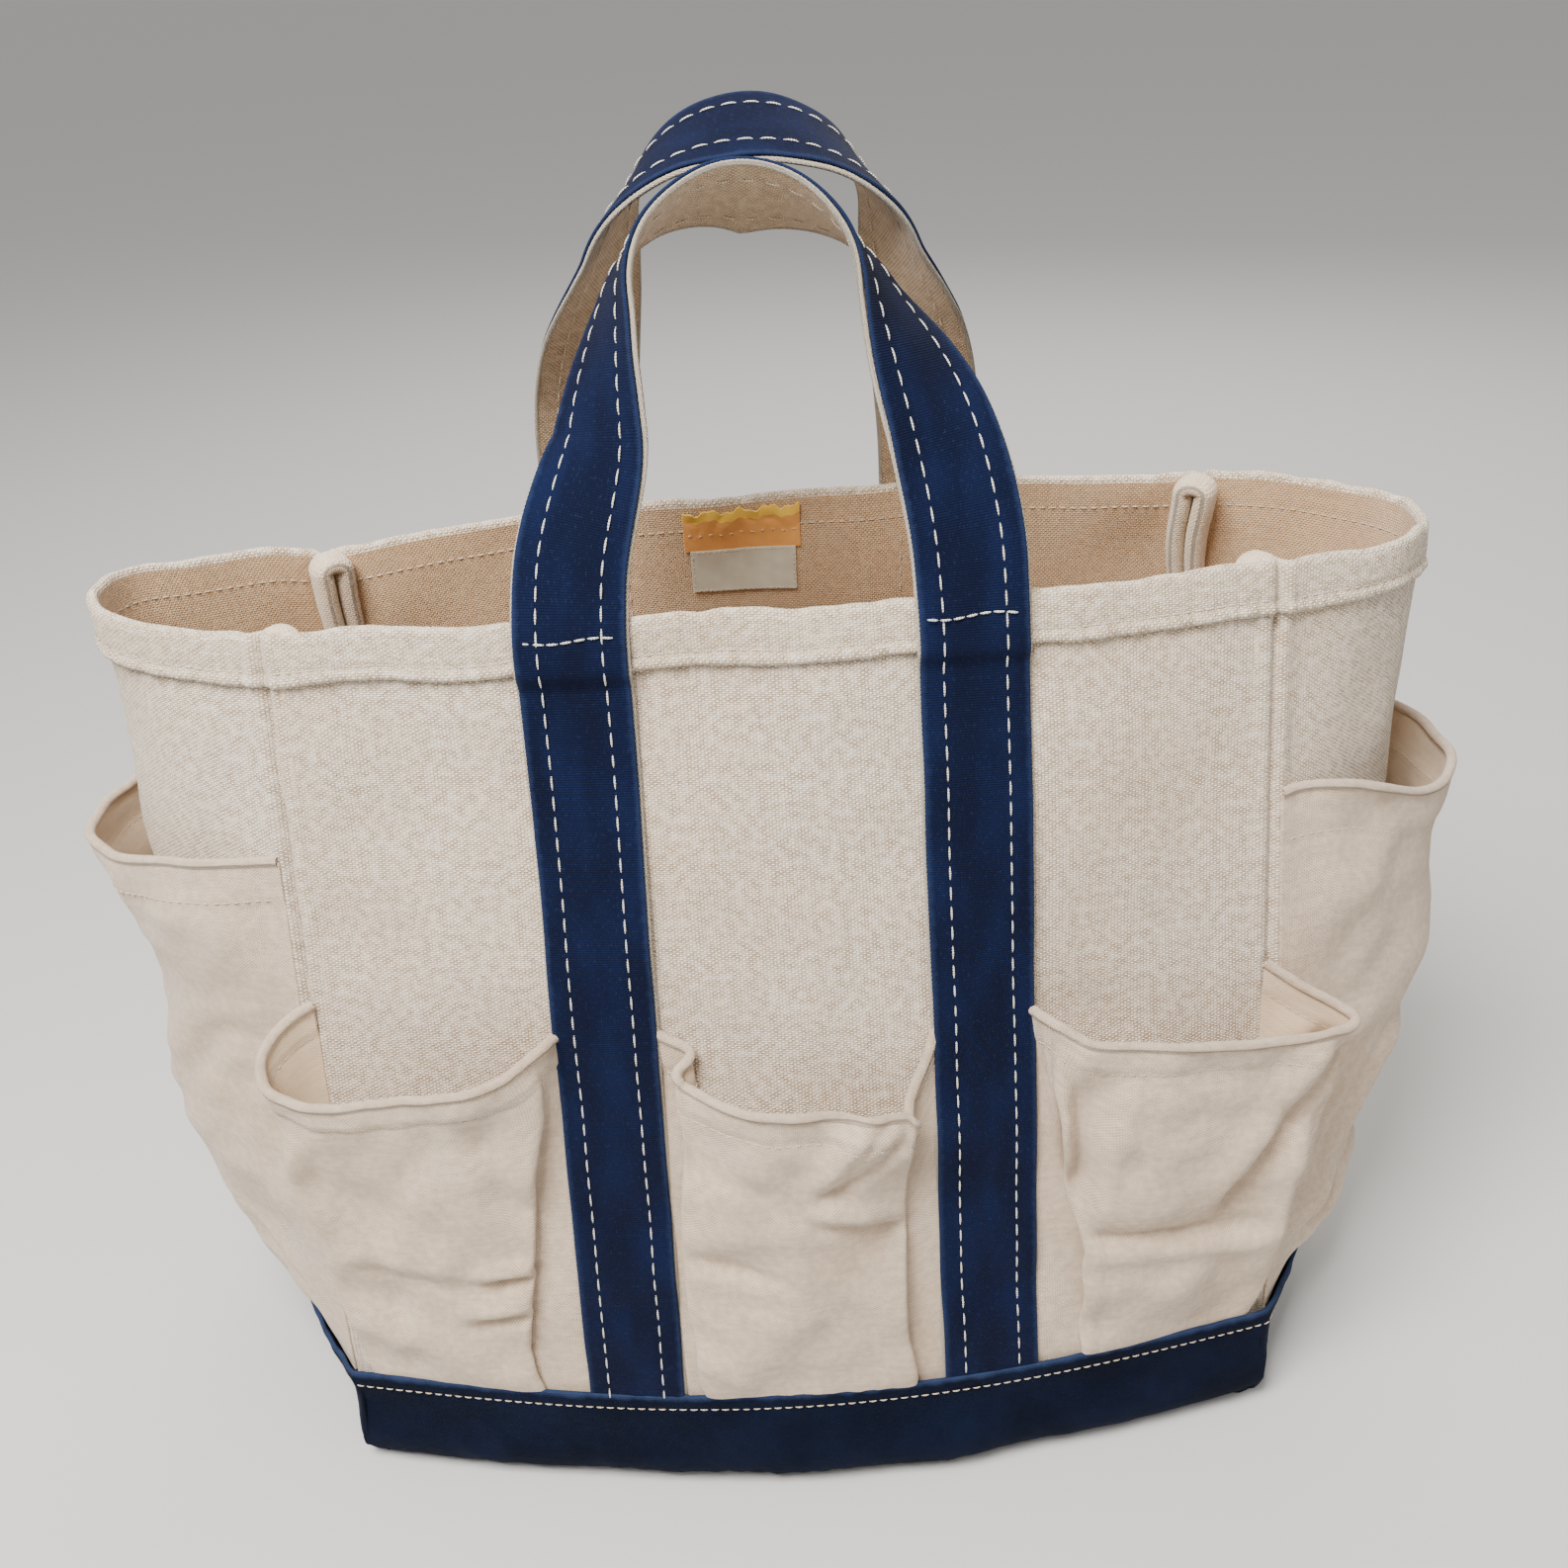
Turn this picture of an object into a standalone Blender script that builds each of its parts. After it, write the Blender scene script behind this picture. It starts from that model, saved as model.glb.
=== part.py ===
"""Free-standing pocketed canvas tool tote with two strap handles.

The tote stands on z = 0. Its long side runs along X, the front faces -Y.
Every cloth piece is an open grid laid over a parametric surface, thickened by Solidify.
"""

import math

import bmesh
import bpy
from mathutils import Matrix, Vector

MM = 0.001

# Body
BODY_HEIGHT = 341.0
CORNER_X_BASE = 178.0
CORNER_X_RIM = 167.0
CORNER_Y_BASE = 97.0
CORNER_Y_RIM = 45.0
DEPTH_TAPER = 1.25
BOW_BASE = 26.0
BOW_RIM = 11.0
END_BULGES = {
    "left": {"base": 16.0, "belly": 56.0, "rim": 67.0, "pocket": 13.0},
    "right": {"base": 20.0, "belly": 58.0, "rim": 62.0, "pocket": 20.0},
}
BELLY_START = 8.0
BELLY_RISE = 78.0
END_CORNER_RIM = 0.30
BOTTOM_RADIUS = 14.0

# Cloth
CANVAS = 1.6
HEM_CLOTH = 2.4
BOAT_CLOTH = 1.8
POCKET_CLOTH = 1.3
TAPE = 1.3
BACKING = 1.1
GAP = 0.35
FLOOR_Z = BOAT_CLOTH + GAP + CANVAS / 2
PANEL_FOOT = 7.0
SIDE_CELLS = {"front": 16, "right": 14, "back": 16, "left": 14}
SIDE_ROWS = {"front": 10, "right": 24, "back": 10, "left": 24}
ROW_BIAS = {"front": 1.0, "right": 1.6, "back": 1.0, "left": 1.6}

# Base, hem and tucks
BOAT_TOP = 47.0
BOAT_STEPS = 5
BOAT_SLACK = 0.4
HEM_HEIGHT = 19.0
SEAM_CLEARANCE = 1.6
TUCK_LENGTH = 15.0
TUCK_HALF_WIDTH = 3.0
TUCK_DROP = 120.0
TUCK_RISE = 5.0
TUCK_ROOT = 3.3
TUCK_CLOTH = 1.3

# Straps
STRAP_WIDTH = 35.0
STRAP_X_BASE, STRAP_X_RIM = 67.5, 64.5
LEG_BOTTOM = 48.5
LEG_TOP = BODY_HEIGHT + 1.0
HINGE_Z = BODY_HEIGHT + 3.0
HINGE_CLEARANCE = 0.4
HEM_STEP = 7.0
BACKING_EXTRA = 1.2
LOOP_GAP = 0.7
LOOP_CELLS = 44
FOOT_RISE = 0.6
# Each loop: half width of its inner edge at the foot, radius of its crown, height,
# lean towards the middle, twist at the top and how late it comes, sideways sway of its top.
HANDLES = {
    "front": {"foot": 47.0, "crown": 36.0, "height": 133.0, "lean": 15.5,
              "twist": 117.0, "delay": 1.25, "early": 0.6, "shift": -3.0},
    "back": {"foot": 47.0, "crown": 39.0, "height": 144.5, "lean": 13.0,
             "twist": 101.0, "delay": 1.15, "early": 0.0, "shift": 1.0},
}

# Pockets
POCKET_BOTTOM = 48.5
POCKET_BULGE = 20.0
FRONT_POCKET_TOP = 203.0
CENTRE_POCKET_TOP = 200.0
END_POCKET_TOP = 262.0
SEAM_OVERHANG = 13.0
STRAP_CLEARANCE = 1.2

# Label, sewn inside the back
LABEL_X = -8.0
LABEL_SIZE = (41.0, 19.0)
LABEL_Z = 310.0
TAB_SIZE = (45.0, 17.0)
TAB_Z = 328.7
PATCH_CLOTH = 0.6

NATURAL = (0.74, 0.65, 0.54, 1.0)
NATURAL_INSIDE = (0.66, 0.54, 0.42, 1.0)
POCKET_NATURAL = (0.77, 0.69, 0.59, 1.0)
WEBBING = (0.72, 0.62, 0.48, 1.0)
NAVY_TAPE = (0.022, 0.040, 0.115, 1.0)
NAVY_BASE = (0.012, 0.022, 0.055, 1.0)
LABEL_WHITE = (0.78, 0.76, 0.68, 1.0)
TAB_ORANGE = (0.80, 0.45, 0.16, 1.0)


def clear_scene():
    for thing in list(bpy.data.objects):
        bpy.data.objects.remove(thing, do_unlink=True)


def new_collection(name):
    collection = bpy.data.collections.new(name)
    bpy.context.scene.collection.children.link(collection)
    return collection


def cloth_material(name, colour, roughness):
    material = bpy.data.materials.new(name)
    material.use_nodes = True
    shader = material.node_tree.nodes["Principled BSDF"]
    shader.inputs["Base Color"].default_value = colour
    shader.inputs["Roughness"].default_value = roughness
    shader.inputs["Metallic"].default_value = 0.0
    material.diffuse_color = colour
    return material


def mix(a, b, t):
    return a + (b - a) * t


def smooth(t):
    t = min(max(t, 0.0), 1.0)
    return t * t * (3.0 - 2.0 * t)


def bump(t, start, end):
    """1 between start and end of the way across, easing to 0 at both sides."""
    return smooth(t / start) * smooth((1.0 - t) / (1.0 - end))


# ---------------------------------------------------------------- body surface

def outline(side, u, z):
    """Plan point of the body at height z; u runs -1..1 anticlockwise along a side."""
    t = min(max(z / BODY_HEIGHT, 0.0), 1.0)
    corner_x = mix(CORNER_X_BASE, CORNER_X_RIM, t)
    corner_y = mix(CORNER_Y_RIM, CORNER_Y_BASE, 1.0 - t ** DEPTH_TAPER)
    turn = u * math.pi / 2
    if side in ("front", "back"):
        bow = mix(BOW_BASE, BOW_RIM, t)
        point = Vector((corner_x * u, -corner_y - bow * math.cos(turn), 0.0))
        return point if side == "front" else -point
    end = END_BULGES[side]
    full = mix(end["belly"], end["rim"], t)
    bulge = mix(end["base"], full, smooth((z - BELLY_START) / BELLY_RISE))
    sharp = mix(1.0, END_CORNER_RIM, t)
    point = Vector((
        corner_x + bulge * math.cos(turn),
        corner_y * mix(math.sin(turn), u, sharp),
        0.0,
    ))
    return point if side == "right" else -point


def plan_normal(side, u, z):
    step = 0.002
    along = outline(side, u + step, z) - outline(side, u - step, z)
    return Vector((along.y, -along.x, 0.0)).normalized()


def skin(side, u, z):
    """Middle surface of the body cloth, with its rounded lower edge."""
    straight_from = FLOOR_Z + BOTTOM_RADIUS
    point = outline(side, u, z)
    if z < straight_from:
        drop = min(straight_from - z, BOTTOM_RADIUS)
        inset = BOTTOM_RADIUS - math.sqrt(BOTTOM_RADIUS ** 2 - drop ** 2)
        point = point - plan_normal(side, u, z) * inset
    point.z = z
    return point


def skin_normal(side, u, z):
    du = skin(side, u + 0.002, z) - skin(side, u - 0.002, z)
    dz = skin(side, u, z + 0.5) - skin(side, u, z - 0.5)
    return du.cross(dz).normalized()


def on_body(side, u, z, offset):
    return skin(side, u, z) + skin_normal(side, u, z) * offset


def strap_x(z):
    """Distance of a strap's centre line from the middle; the straps converge upwards."""
    return mix(STRAP_X_BASE, STRAP_X_RIM, min(z / BODY_HEIGHT, 1.0))


def front_u(x, z):
    """Position along the front or back side at a given x."""
    t = min(max(z / BODY_HEIGHT, 0.0), 1.0)
    return x / mix(CORNER_X_BASE, CORNER_X_RIM, t)


def end_limit(z, clearance):
    """How far an end piece may run towards its corner, as u."""
    corner = outline("left", 1.0, z)
    near = outline("left", 0.96, z)
    return 1.0 - 0.04 * clearance / (corner - near).length


# ---------------------------------------------------------------- cloth pieces

def cloth(name, surface, cells, thickness, look, home):
    """Lay a grid over surface(p, q), both 0..1, and thicken it evenly."""
    mesh = bpy.data.meshes.new(name)
    grid = bmesh.new()
    bmesh.ops.create_grid(grid, x_segments=cells[0], y_segments=cells[1], size=0.5)
    for vertex in grid.verts:
        vertex.co = surface(vertex.co.x + 0.5, vertex.co.y + 0.5) * MM
    grid.to_mesh(mesh)
    grid.free()
    return thicken(name, mesh, thickness, look, home)


def thicken(name, mesh, thickness, look, home):
    piece = bpy.data.objects.new(name, mesh)
    home["parts"].objects.link(piece)
    mesh.materials.append(look)
    solid = piece.modifiers.new("Thickness", "SOLIDIFY")
    solid.thickness = thickness * MM
    solid.offset = 0.0
    solid.use_even_offset = False
    return piece


def wall_panel(side, look, home):
    lowest = FLOOR_Z + PANEL_FOOT

    def surface(p, q):
        z = mix(lowest, BODY_HEIGHT - 0.5, q ** ROW_BIAS[side])
        tuck_in = max(lowest + BOTTOM_RADIUS - z, 0.0) * 0.5
        limit = end_limit(z, SEAM_CLEARANCE + tuck_in)
        if side in ("front", "back"):
            limit = 1.0
        return on_body(side, mix(-limit, limit, p), z, 0.0)

    cloth(side + "_panel", surface, (SIDE_CELLS[side], SIDE_ROWS[side]), CANVAS, look, home)


def rim_hem(side, look, home):
    offset = CANVAS / 2 + GAP + HEM_CLOTH / 2

    def surface(p, q):
        z = mix(BODY_HEIGHT - HEM_HEIGHT, BODY_HEIGHT, q)
        limit = 1.0 if side in ("front", "back") else end_limit(z, SEAM_CLEARANCE)
        return on_body(side, mix(-limit, limit, p), z, offset)

    cloth(side + "_hem", surface, (SIDE_CELLS[side], 1), HEM_CLOTH, look, home)


def base_ring(z, offset):
    """Closed plan loop round the base, mitred at the four corners."""
    sides = list(SIDE_CELLS)
    ring = []
    for index, side in enumerate(sides):
        before = sides[index - 1]
        for step in range(SIDE_CELLS[side]):
            u = -1.0 + 2.0 * step / SIDE_CELLS[side]
            normal = skin_normal(side, u, z)
            if step == 0:
                other = skin_normal(before, 1.0, z)
                both = (normal + other).normalized()
                normal = both / max(both.dot(normal), 0.5)
            ring.append(skin(side, u, z) + normal * offset)
    return ring


def base_boat(look, home):
    """Navy outer base: a tray with a flat underside and a rounded lower edge."""
    offset = CANVAS / 2 + GAP + BOAT_CLOTH / 2 + BOAT_SLACK
    straight = FLOOR_Z + BOTTOM_RADIUS
    heights = [mix(BOAT_TOP, straight, step / BOAT_STEPS) for step in range(BOAT_STEPS + 1)]
    for angle in (25.0, 50.0, 70.0):
        heights.append(straight - BOTTOM_RADIUS * math.sin(math.radians(angle)))
    mesh = bpy.data.meshes.new("base_boat")
    tray = bmesh.new()
    rings = [[tray.verts.new(p * MM) for p in base_ring(z, offset)] for z in heights]
    inner = base_ring(heights[-1], 0.0)
    middle = Vector((0.0, 0.0, 0.0))
    floor = []
    for point in inner:
        point.z = 0.0
        inward = (middle - point).normalized()
        place = point + inward * BOTTOM_RADIUS * 0.35
        floor.append(tray.verts.new(Vector((place.x, place.y, BOAT_CLOTH / 2)) * MM))
    rings.append(floor)
    count = len(floor)
    for upper, lower in zip(rings, rings[1:]):
        for i in range(count):
            j = (i + 1) % count
            tray.faces.new((upper[i], lower[i], lower[j], upper[j]))
    tray.faces.new(list(reversed(floor)))
    bmesh.ops.recalc_face_normals(tray, faces=tray.faces)
    tray.to_mesh(mesh)
    tray.free()
    piece = thicken("base_boat", mesh, BOAT_CLOTH, look, home)
    piece.modifiers["Thickness"].use_even_offset = True


def floor_panel(look, home):
    """Canvas floor lying in the base."""
    mesh = bpy.data.meshes.new("floor_panel")
    sheet = bmesh.new()
    corners = []
    for point in base_ring(FLOOR_Z + 2.0, 0.0):
        inward = Vector((-point.x, -point.y, 0.0)).normalized()
        place = point + inward * 9.0
        corners.append(sheet.verts.new(Vector((place.x, place.y, FLOOR_Z)) * MM))
    sheet.faces.new(corners)
    sheet.to_mesh(mesh)
    sheet.free()
    thicken("floor_panel", mesh, CANVAS, look, home)


def corner_tuck(name, side, u, look, home):
    """Inward fold of cloth at a seam, widest at the rim and fading downwards."""

    def surface(p, q):
        z = mix(BODY_HEIGHT - TUCK_DROP, BODY_HEIGHT + TUCK_RISE, q)
        corner = skin(side, u, min(z, BODY_HEIGHT))
        corner.z = z
        inward = Vector((-math.copysign(0.45, corner.x), -math.copysign(1.0, corner.y), 0.0))
        inward.normalize()
        across = Vector((-inward.y, inward.x, 0.0))
        reach = mix(2.0, TUCK_LENGTH, smooth(q * 1.2)) - TUCK_HALF_WIDTH * 0.4
        angle = (p - 0.5) * 1.6
        if abs(angle) > 0.5:
            depth = reach * (1.0 - (abs(angle) - 0.5) / 0.3)
            spread = TUCK_HALF_WIDTH
        else:
            depth = reach + TUCK_HALF_WIDTH * math.cos(angle * math.pi)
            spread = TUCK_HALF_WIDTH * abs(math.sin(angle * math.pi))
        return corner + inward * (TUCK_ROOT + depth) + across * math.copysign(spread, angle)

    cloth(name, surface, (10, 5), TUCK_CLOTH, look, home)


# ---------------------------------------------------------------- pockets

POCKET_OFFSET = CANVAS / 2 + GAP + POCKET_CLOTH / 2
END_POCKET_SLACK = 0.25


def pocket_front(name, side, edges, top, droop, overhang, look, home):
    """Bellows pocket on the front or back, between two x positions (seen from outside)."""
    def edge_at(edge, z):
        """An edge beside a strap leans with it; one at a seam stays."""
        if abs(edge) > STRAP_X_BASE + STRAP_WIDTH:
            return edge
        return edge - math.copysign(STRAP_X_BASE - strap_x(z), edge)

    def surface(p, q):
        swell = bump(p, 0.16, 0.84)
        rise = mix(0.10, 1.0, q ** 1.4)
        height = top - droop * swell
        z = mix(POCKET_BOTTOM, height, q)
        x = mix(edge_at(edges[0], z), edge_at(edges[1], z), p)
        outer = bump(p if overhang > 0 else 1.0 - p, 0.80, 0.93)
        shift = overhang * outer * q ** 1.5
        offset = POCKET_OFFSET + POCKET_BULGE * swell * rise
        point = on_body(side, front_u(x, z), z, offset)
        point.x += shift if side == "front" else -shift
        return point

    cloth(name, surface, (16, 6), POCKET_CLOTH, look, home)


def end_pocket(name, side, look, home):
    def surface(p, q):
        swell = bump(p, 0.30, 0.70)
        top = END_POCKET_TOP - 8.0 * swell
        z = mix(POCKET_BOTTOM, top, q ** 1.3)
        limit = end_limit(z, SEAM_CLEARANCE + 3.0)
        bulge = END_BULGES[side]["pocket"] * swell * mix(0.25, 1.0, q)
        offset = POCKET_OFFSET + END_POCKET_SLACK + bulge
        return on_body(side, mix(-limit, limit, p), z, offset)

    cloth(name, surface, (16, 14), POCKET_CLOTH, look, home)


# ---------------------------------------------------------------- straps

BACKING_OFFSET = CANVAS / 2 + GAP + BACKING / 2
TAPE_OFFSET = CANVAS / 2 + GAP + BACKING + GAP + TAPE / 2
HEM_LIFT = HEM_CLOTH + GAP
LEG_ROWS = {"plain": 13, "step": 2, "hem": 2}


def leg_row(row):
    """Height and outward lift of one row of a sewn leg, which steps out over the hem."""
    foot_of_step = BODY_HEIGHT - HEM_HEIGHT - HEM_STEP
    head_of_step = BODY_HEIGHT - HEM_HEIGHT - 1.0
    plain, step = LEG_ROWS["plain"], LEG_ROWS["step"]
    if row <= plain:
        return mix(LEG_BOTTOM, foot_of_step, row / plain), 0.0
    if row <= plain + step:
        t = (row - plain) / step
        return mix(foot_of_step, head_of_step, t), HEM_LIFT * smooth(t)
    return mix(head_of_step, LEG_TOP, (row - plain - step) / LEG_ROWS["hem"]), HEM_LIFT


def strap_leg(name, side, way, offset, width, thickness, look, home):
    rows = sum(LEG_ROWS.values())

    def surface(p, q):
        z, lift = leg_row(round(q * rows))
        x = way * strap_x(z) + (p - 0.5) * width
        return on_body(side, front_u(x, z), z, offset + lift)

    cloth(name, surface, (2, rows), thickness, look, home)


def hinge_point():
    """Where the front loop folds: the outer face of the sewn tape, just above the rim."""
    z = BODY_HEIGHT
    outer = on_body("front", front_u(STRAP_X_RIM, z), z, TAPE_OFFSET + HEM_LIFT + TAPE / 2)
    return Vector((0.0, outer.y - HINGE_CLEARANCE, HINGE_Z))


def arch(shape, s):
    """Inner edge of a loop in its own plane: straight legs under a half circle."""
    crown = shape["crown"]
    leg = shape["height"] - crown
    half_path = leg + crown * math.pi / 2
    mirror = -1.0 if s < 0.5 else 1.0
    travelled = (1.0 - abs(1.0 - 2.0 * s)) * half_path
    if travelled < leg:
        climb = travelled
        half = mix(shape["foot"], crown, smooth(climb / leg))
    else:
        angle = (travelled - leg) / crown
        climb = leg + crown * math.sin(angle)
        half = crown * math.cos(angle)
    sway = shape["shift"] * smooth(climb / shape["height"])
    return Vector((mirror * half + sway, 0.0, climb + FOOT_RISE))


def loop_point(side, s, across, lift):
    """Point of a handle loop; across -0.5..0.5 from its outer to its inner edge."""
    shape = HANDLES[side]
    step = 0.006
    low, high = max(s - step, 0.0), min(s + step, 1.0)
    tangent = (arch(shape, high) - arch(shape, low)).normalized()
    outward = Vector((-tangent.z, 0.0, tangent.x))
    facing = Vector((0.0, -1.0, 0.0))
    near = 1.0 - abs(1.0 - 2.0 * s)
    turned = smooth(near ** shape["delay"])
    if s < 0.5:
        turned = mix(turned, near, shape["early"])
    twist = math.radians(shape["twist"]) * turned
    inner_way = outward * -math.cos(twist) + facing * math.sin(twist)
    face = facing * math.cos(twist) + outward * math.sin(twist)
    point = arch(shape, s) + inner_way * ((across - 0.5) * STRAP_WIDTH) + face * lift
    point.y += HINGE_CLEARANCE + TAPE + (LOOP_GAP + BACKING - TAPE) / 2
    point = Matrix.Rotation(math.radians(-shape["lean"]), 3, "X") @ point
    point += hinge_point()
    if side == "back":
        point.y = -point.y
    return point


def handle_loop(name, side, lift, extra, thickness, look, home):
    stretch = 1.0 + extra / STRAP_WIDTH

    def surface(p, q):
        return loop_point(side, q, (p - 0.5) * stretch, lift)

    return cloth(name, surface, (3, LOOP_CELLS), thickness, look, home)


def hang_on_hinge(piece, side):
    """Move the origin to the hinge, where the loop leaves the sewn rim."""
    origin = hinge_point()
    if side == "back":
        origin.y = -origin.y
    piece.data.transform(Matrix.Translation(-origin * MM))
    piece.location = origin * MM


def inside_patch(name, size, z, depth, look, home):
    """Flat cloth patch sewn to the inside of the back panel."""
    width, height = size

    def surface(p, q):
        x = LABEL_X + (p - 0.5) * width
        return on_body("back", front_u(-x, z), z + (q - 0.5) * height, -depth)

    cloth(name, surface, (4, 2), PATCH_CLOTH, look, home)


def build_body(looks, home):
    for side in ("front", "right", "back", "left"):
        wall_panel(side, looks["canvas"], home)
        rim_hem(side, looks["canvas"], home)
    base_boat(looks["base"], home)
    floor_panel(looks["inside"], home)
    corners = {
        "front_left": ("front", -1.0),
        "front_right": ("front", 1.0),
        "back_right": ("back", -1.0),
        "back_left": ("back", 1.0),
    }
    for name, (side, u) in corners.items():
        corner_tuck(name + "_tuck", side, u, looks["inside"], home)
    first = CANVAS / 2 + GAP + PATCH_CLOTH / 2
    inside_patch("inner_tab", TAB_SIZE, TAB_Z, first, looks["tab"], home)
    inside_patch("inner_label", LABEL_SIZE, LABEL_Z, first, looks["label"], home)


def build_pockets(looks, home):
    inner = STRAP_X_BASE - STRAP_WIDTH / 2 - STRAP_CLEARANCE
    outer = STRAP_X_BASE + STRAP_WIDTH / 2 + STRAP_CLEARANCE
    seam = CORNER_X_RIM - 1.0
    look = looks["pocket"]
    for side in ("front", "back"):
        pocket_front(side + "_centre_pocket", side, (-inner, inner), CENTRE_POCKET_TOP, 22.0, 0.0,
                     look, home)
        pocket_front(side + "_right_pocket", side, (outer, seam), FRONT_POCKET_TOP, 16.0,
                     SEAM_OVERHANG, look, home)
        pocket_front(side + "_left_pocket", side, (-seam, -outer), FRONT_POCKET_TOP, 20.0,
                     -SEAM_OVERHANG, look, home)
    end_pocket("left_end_pocket", "left", look, home)
    end_pocket("right_end_pocket", "right", look, home)


def build_straps(looks, home):
    for side in ("front", "back"):
        for label, way in (("left", -1.0), ("right", 1.0)):
            stem = side + "_" + label + "_leg"
            strap_leg(stem + "_backing", side, way, BACKING_OFFSET,
                      STRAP_WIDTH + BACKING_EXTRA, BACKING, looks["webbing"], home)
            strap_leg(stem + "_tape", side, way, TAPE_OFFSET, STRAP_WIDTH, TAPE,
                      looks["tape"], home)
        half = (BACKING + TAPE) / 4 + LOOP_GAP / 2
        lining = handle_loop(side + "_handle_backing", side, -half, BACKING_EXTRA, BACKING,
                             looks["webbing"], home)
        tape = handle_loop(side + "_handle_tape", side, half, 0.0, TAPE, looks["tape"], home)
        hang_on_hinge(lining, side)
        hang_on_hinge(tape, side)


def build():
    clear_scene()
    home = {"parts": new_collection("pocketed_tool_tote")}
    looks = {
        "canvas": cloth_material("natural canvas", NATURAL, 0.92),
        "inside": cloth_material("natural canvas inside", NATURAL_INSIDE, 0.92),
        "pocket": cloth_material("pocket canvas", POCKET_NATURAL, 0.90),
        "webbing": cloth_material("natural webbing", WEBBING, 0.90),
        "tape": cloth_material("navy strap tape", NAVY_TAPE, 0.80),
        "base": cloth_material("navy base canvas", NAVY_BASE, 0.88),
        "label": cloth_material("woven label", LABEL_WHITE, 0.70),
        "tab": cloth_material("orange tab cloth", TAB_ORANGE, 0.80),
    }
    build_body(looks, home)
    build_pockets(looks, home)
    build_straps(looks, home)


build()
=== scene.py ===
"""Visual model of the pocketed canvas tool tote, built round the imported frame."""

from math import copysign, cos, exp, hypot, pi, radians, sin

import bpy
import numpy as np
from mathutils import Matrix, Vector


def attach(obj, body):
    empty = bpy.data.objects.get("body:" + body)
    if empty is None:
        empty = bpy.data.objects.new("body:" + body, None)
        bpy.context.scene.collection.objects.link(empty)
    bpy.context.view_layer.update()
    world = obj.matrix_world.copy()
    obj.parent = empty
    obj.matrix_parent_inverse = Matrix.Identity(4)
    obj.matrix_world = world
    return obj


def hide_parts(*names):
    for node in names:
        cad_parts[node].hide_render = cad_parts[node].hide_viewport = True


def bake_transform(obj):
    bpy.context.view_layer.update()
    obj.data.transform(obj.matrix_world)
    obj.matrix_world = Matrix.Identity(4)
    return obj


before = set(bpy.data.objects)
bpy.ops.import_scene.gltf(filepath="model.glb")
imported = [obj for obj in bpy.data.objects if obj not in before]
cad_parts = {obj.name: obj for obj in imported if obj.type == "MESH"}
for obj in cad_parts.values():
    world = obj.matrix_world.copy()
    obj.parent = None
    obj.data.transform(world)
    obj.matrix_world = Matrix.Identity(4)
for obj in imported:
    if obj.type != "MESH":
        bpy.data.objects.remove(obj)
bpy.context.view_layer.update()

MM = 0.001

# Driving dimensions in millimetres, the same as the frame's. Pairs are (base, rim).
HEIGHT = 341
CORNER_X = (178, 167)
CORNER_Y = (97, 45)
DEPTH_TAPER = 1.25
BOW = (26, 11)
END_CORNER_RIM = 0.3
END_BULGES = {"left": (16, 56, 67), "right": (20, 58, 62)}
BELLY_START, BELLY_RISE = 8, 78
END_POCKET_BULGE = {"left": 12, "right": 20}
END_POCKET_SAG = {"left": 10, "right": 18}
BOTTOM_RADIUS = 14
FLOOR_Z = 2.95
WALL = 1.6
BASE_TOP = 47
STRAP_WIDTH = 35
STRAP_X = (67.5, 64.5)
HINGE_Z = HEIGHT + 3
# Handle loops: half width at the foot, radius of the crown, height, lean and twist in
# degrees, delay of the twist, how the left half turns early and narrows in haste, and the
# shift of the crown to the right
LOOPS = {
    "front": {"foot": 47, "crown": 36, "height": 133, "lean": 15.5, "twist": 117,
              "delay": 1.25, "early": 0.6, "haste": 1.7, "shift": -3},
    "back": {"foot": 47, "crown": 39, "height": 144.5, "lean": 13, "twist": 101,
             "delay": 1.15, "early": 0, "haste": 1, "shift": 1},
}
# Height of the rim's corners over its middle, at the two ends of each side
CORNER_RISE = {"front": (-3, 2), "right": (2, 1.5), "back": (1.5, -10), "left": (-10, -3)}
RISE_FROM, RISE_OVER = 200, 120
SIDES = ("front", "right", "back", "left")
SIDE_COLUMNS = {"front": 150, "back": 150, "left": 110, "right": 110}
SIDE_SEED = {"front": 11, "back": 23, "left": 37, "right": 41}
HALF_WIDTH = {"front": 174, "back": 174, "left": 100, "right": 100}
STEP_U, STEP_Z = 0.002, 0.5
SEAM_DEPTH, SEAM_WIDTH, SEAM_RIDGE = 2.8, 1.7, 0.7


def mix(a, b, t):
    return a + (b - a) * t


def smooth(t):
    t = np.clip(t, 0, 1)
    return t * t * (3 - 2 * t)


def unit(v):
    return v / np.maximum(np.linalg.norm(v, axis=-1, keepdims=True), 1e-9)


def ripple(x, y, scale, seed):
    """Smooth, repeatable unevenness of about one unit either way, at the given scale."""
    rng = np.random.RandomState(seed)
    waves, evening = 14, 4.2
    total = 0
    for _ in range(waves):
        angle, phase = rng.uniform(0, 2 * pi, 2)
        wave = 2 * pi / (scale * rng.uniform(0.7, 1.8))
        total = total + np.sin((x * cos(angle) + y * sin(angle)) * wave + phase)
    return total / evening


def travel(path):
    """Distance from the start of a path to each of its points."""
    return np.concatenate([[0], np.cumsum(np.linalg.norm(np.diff(path, axis=0), axis=1))])


# ---- body surface

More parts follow.
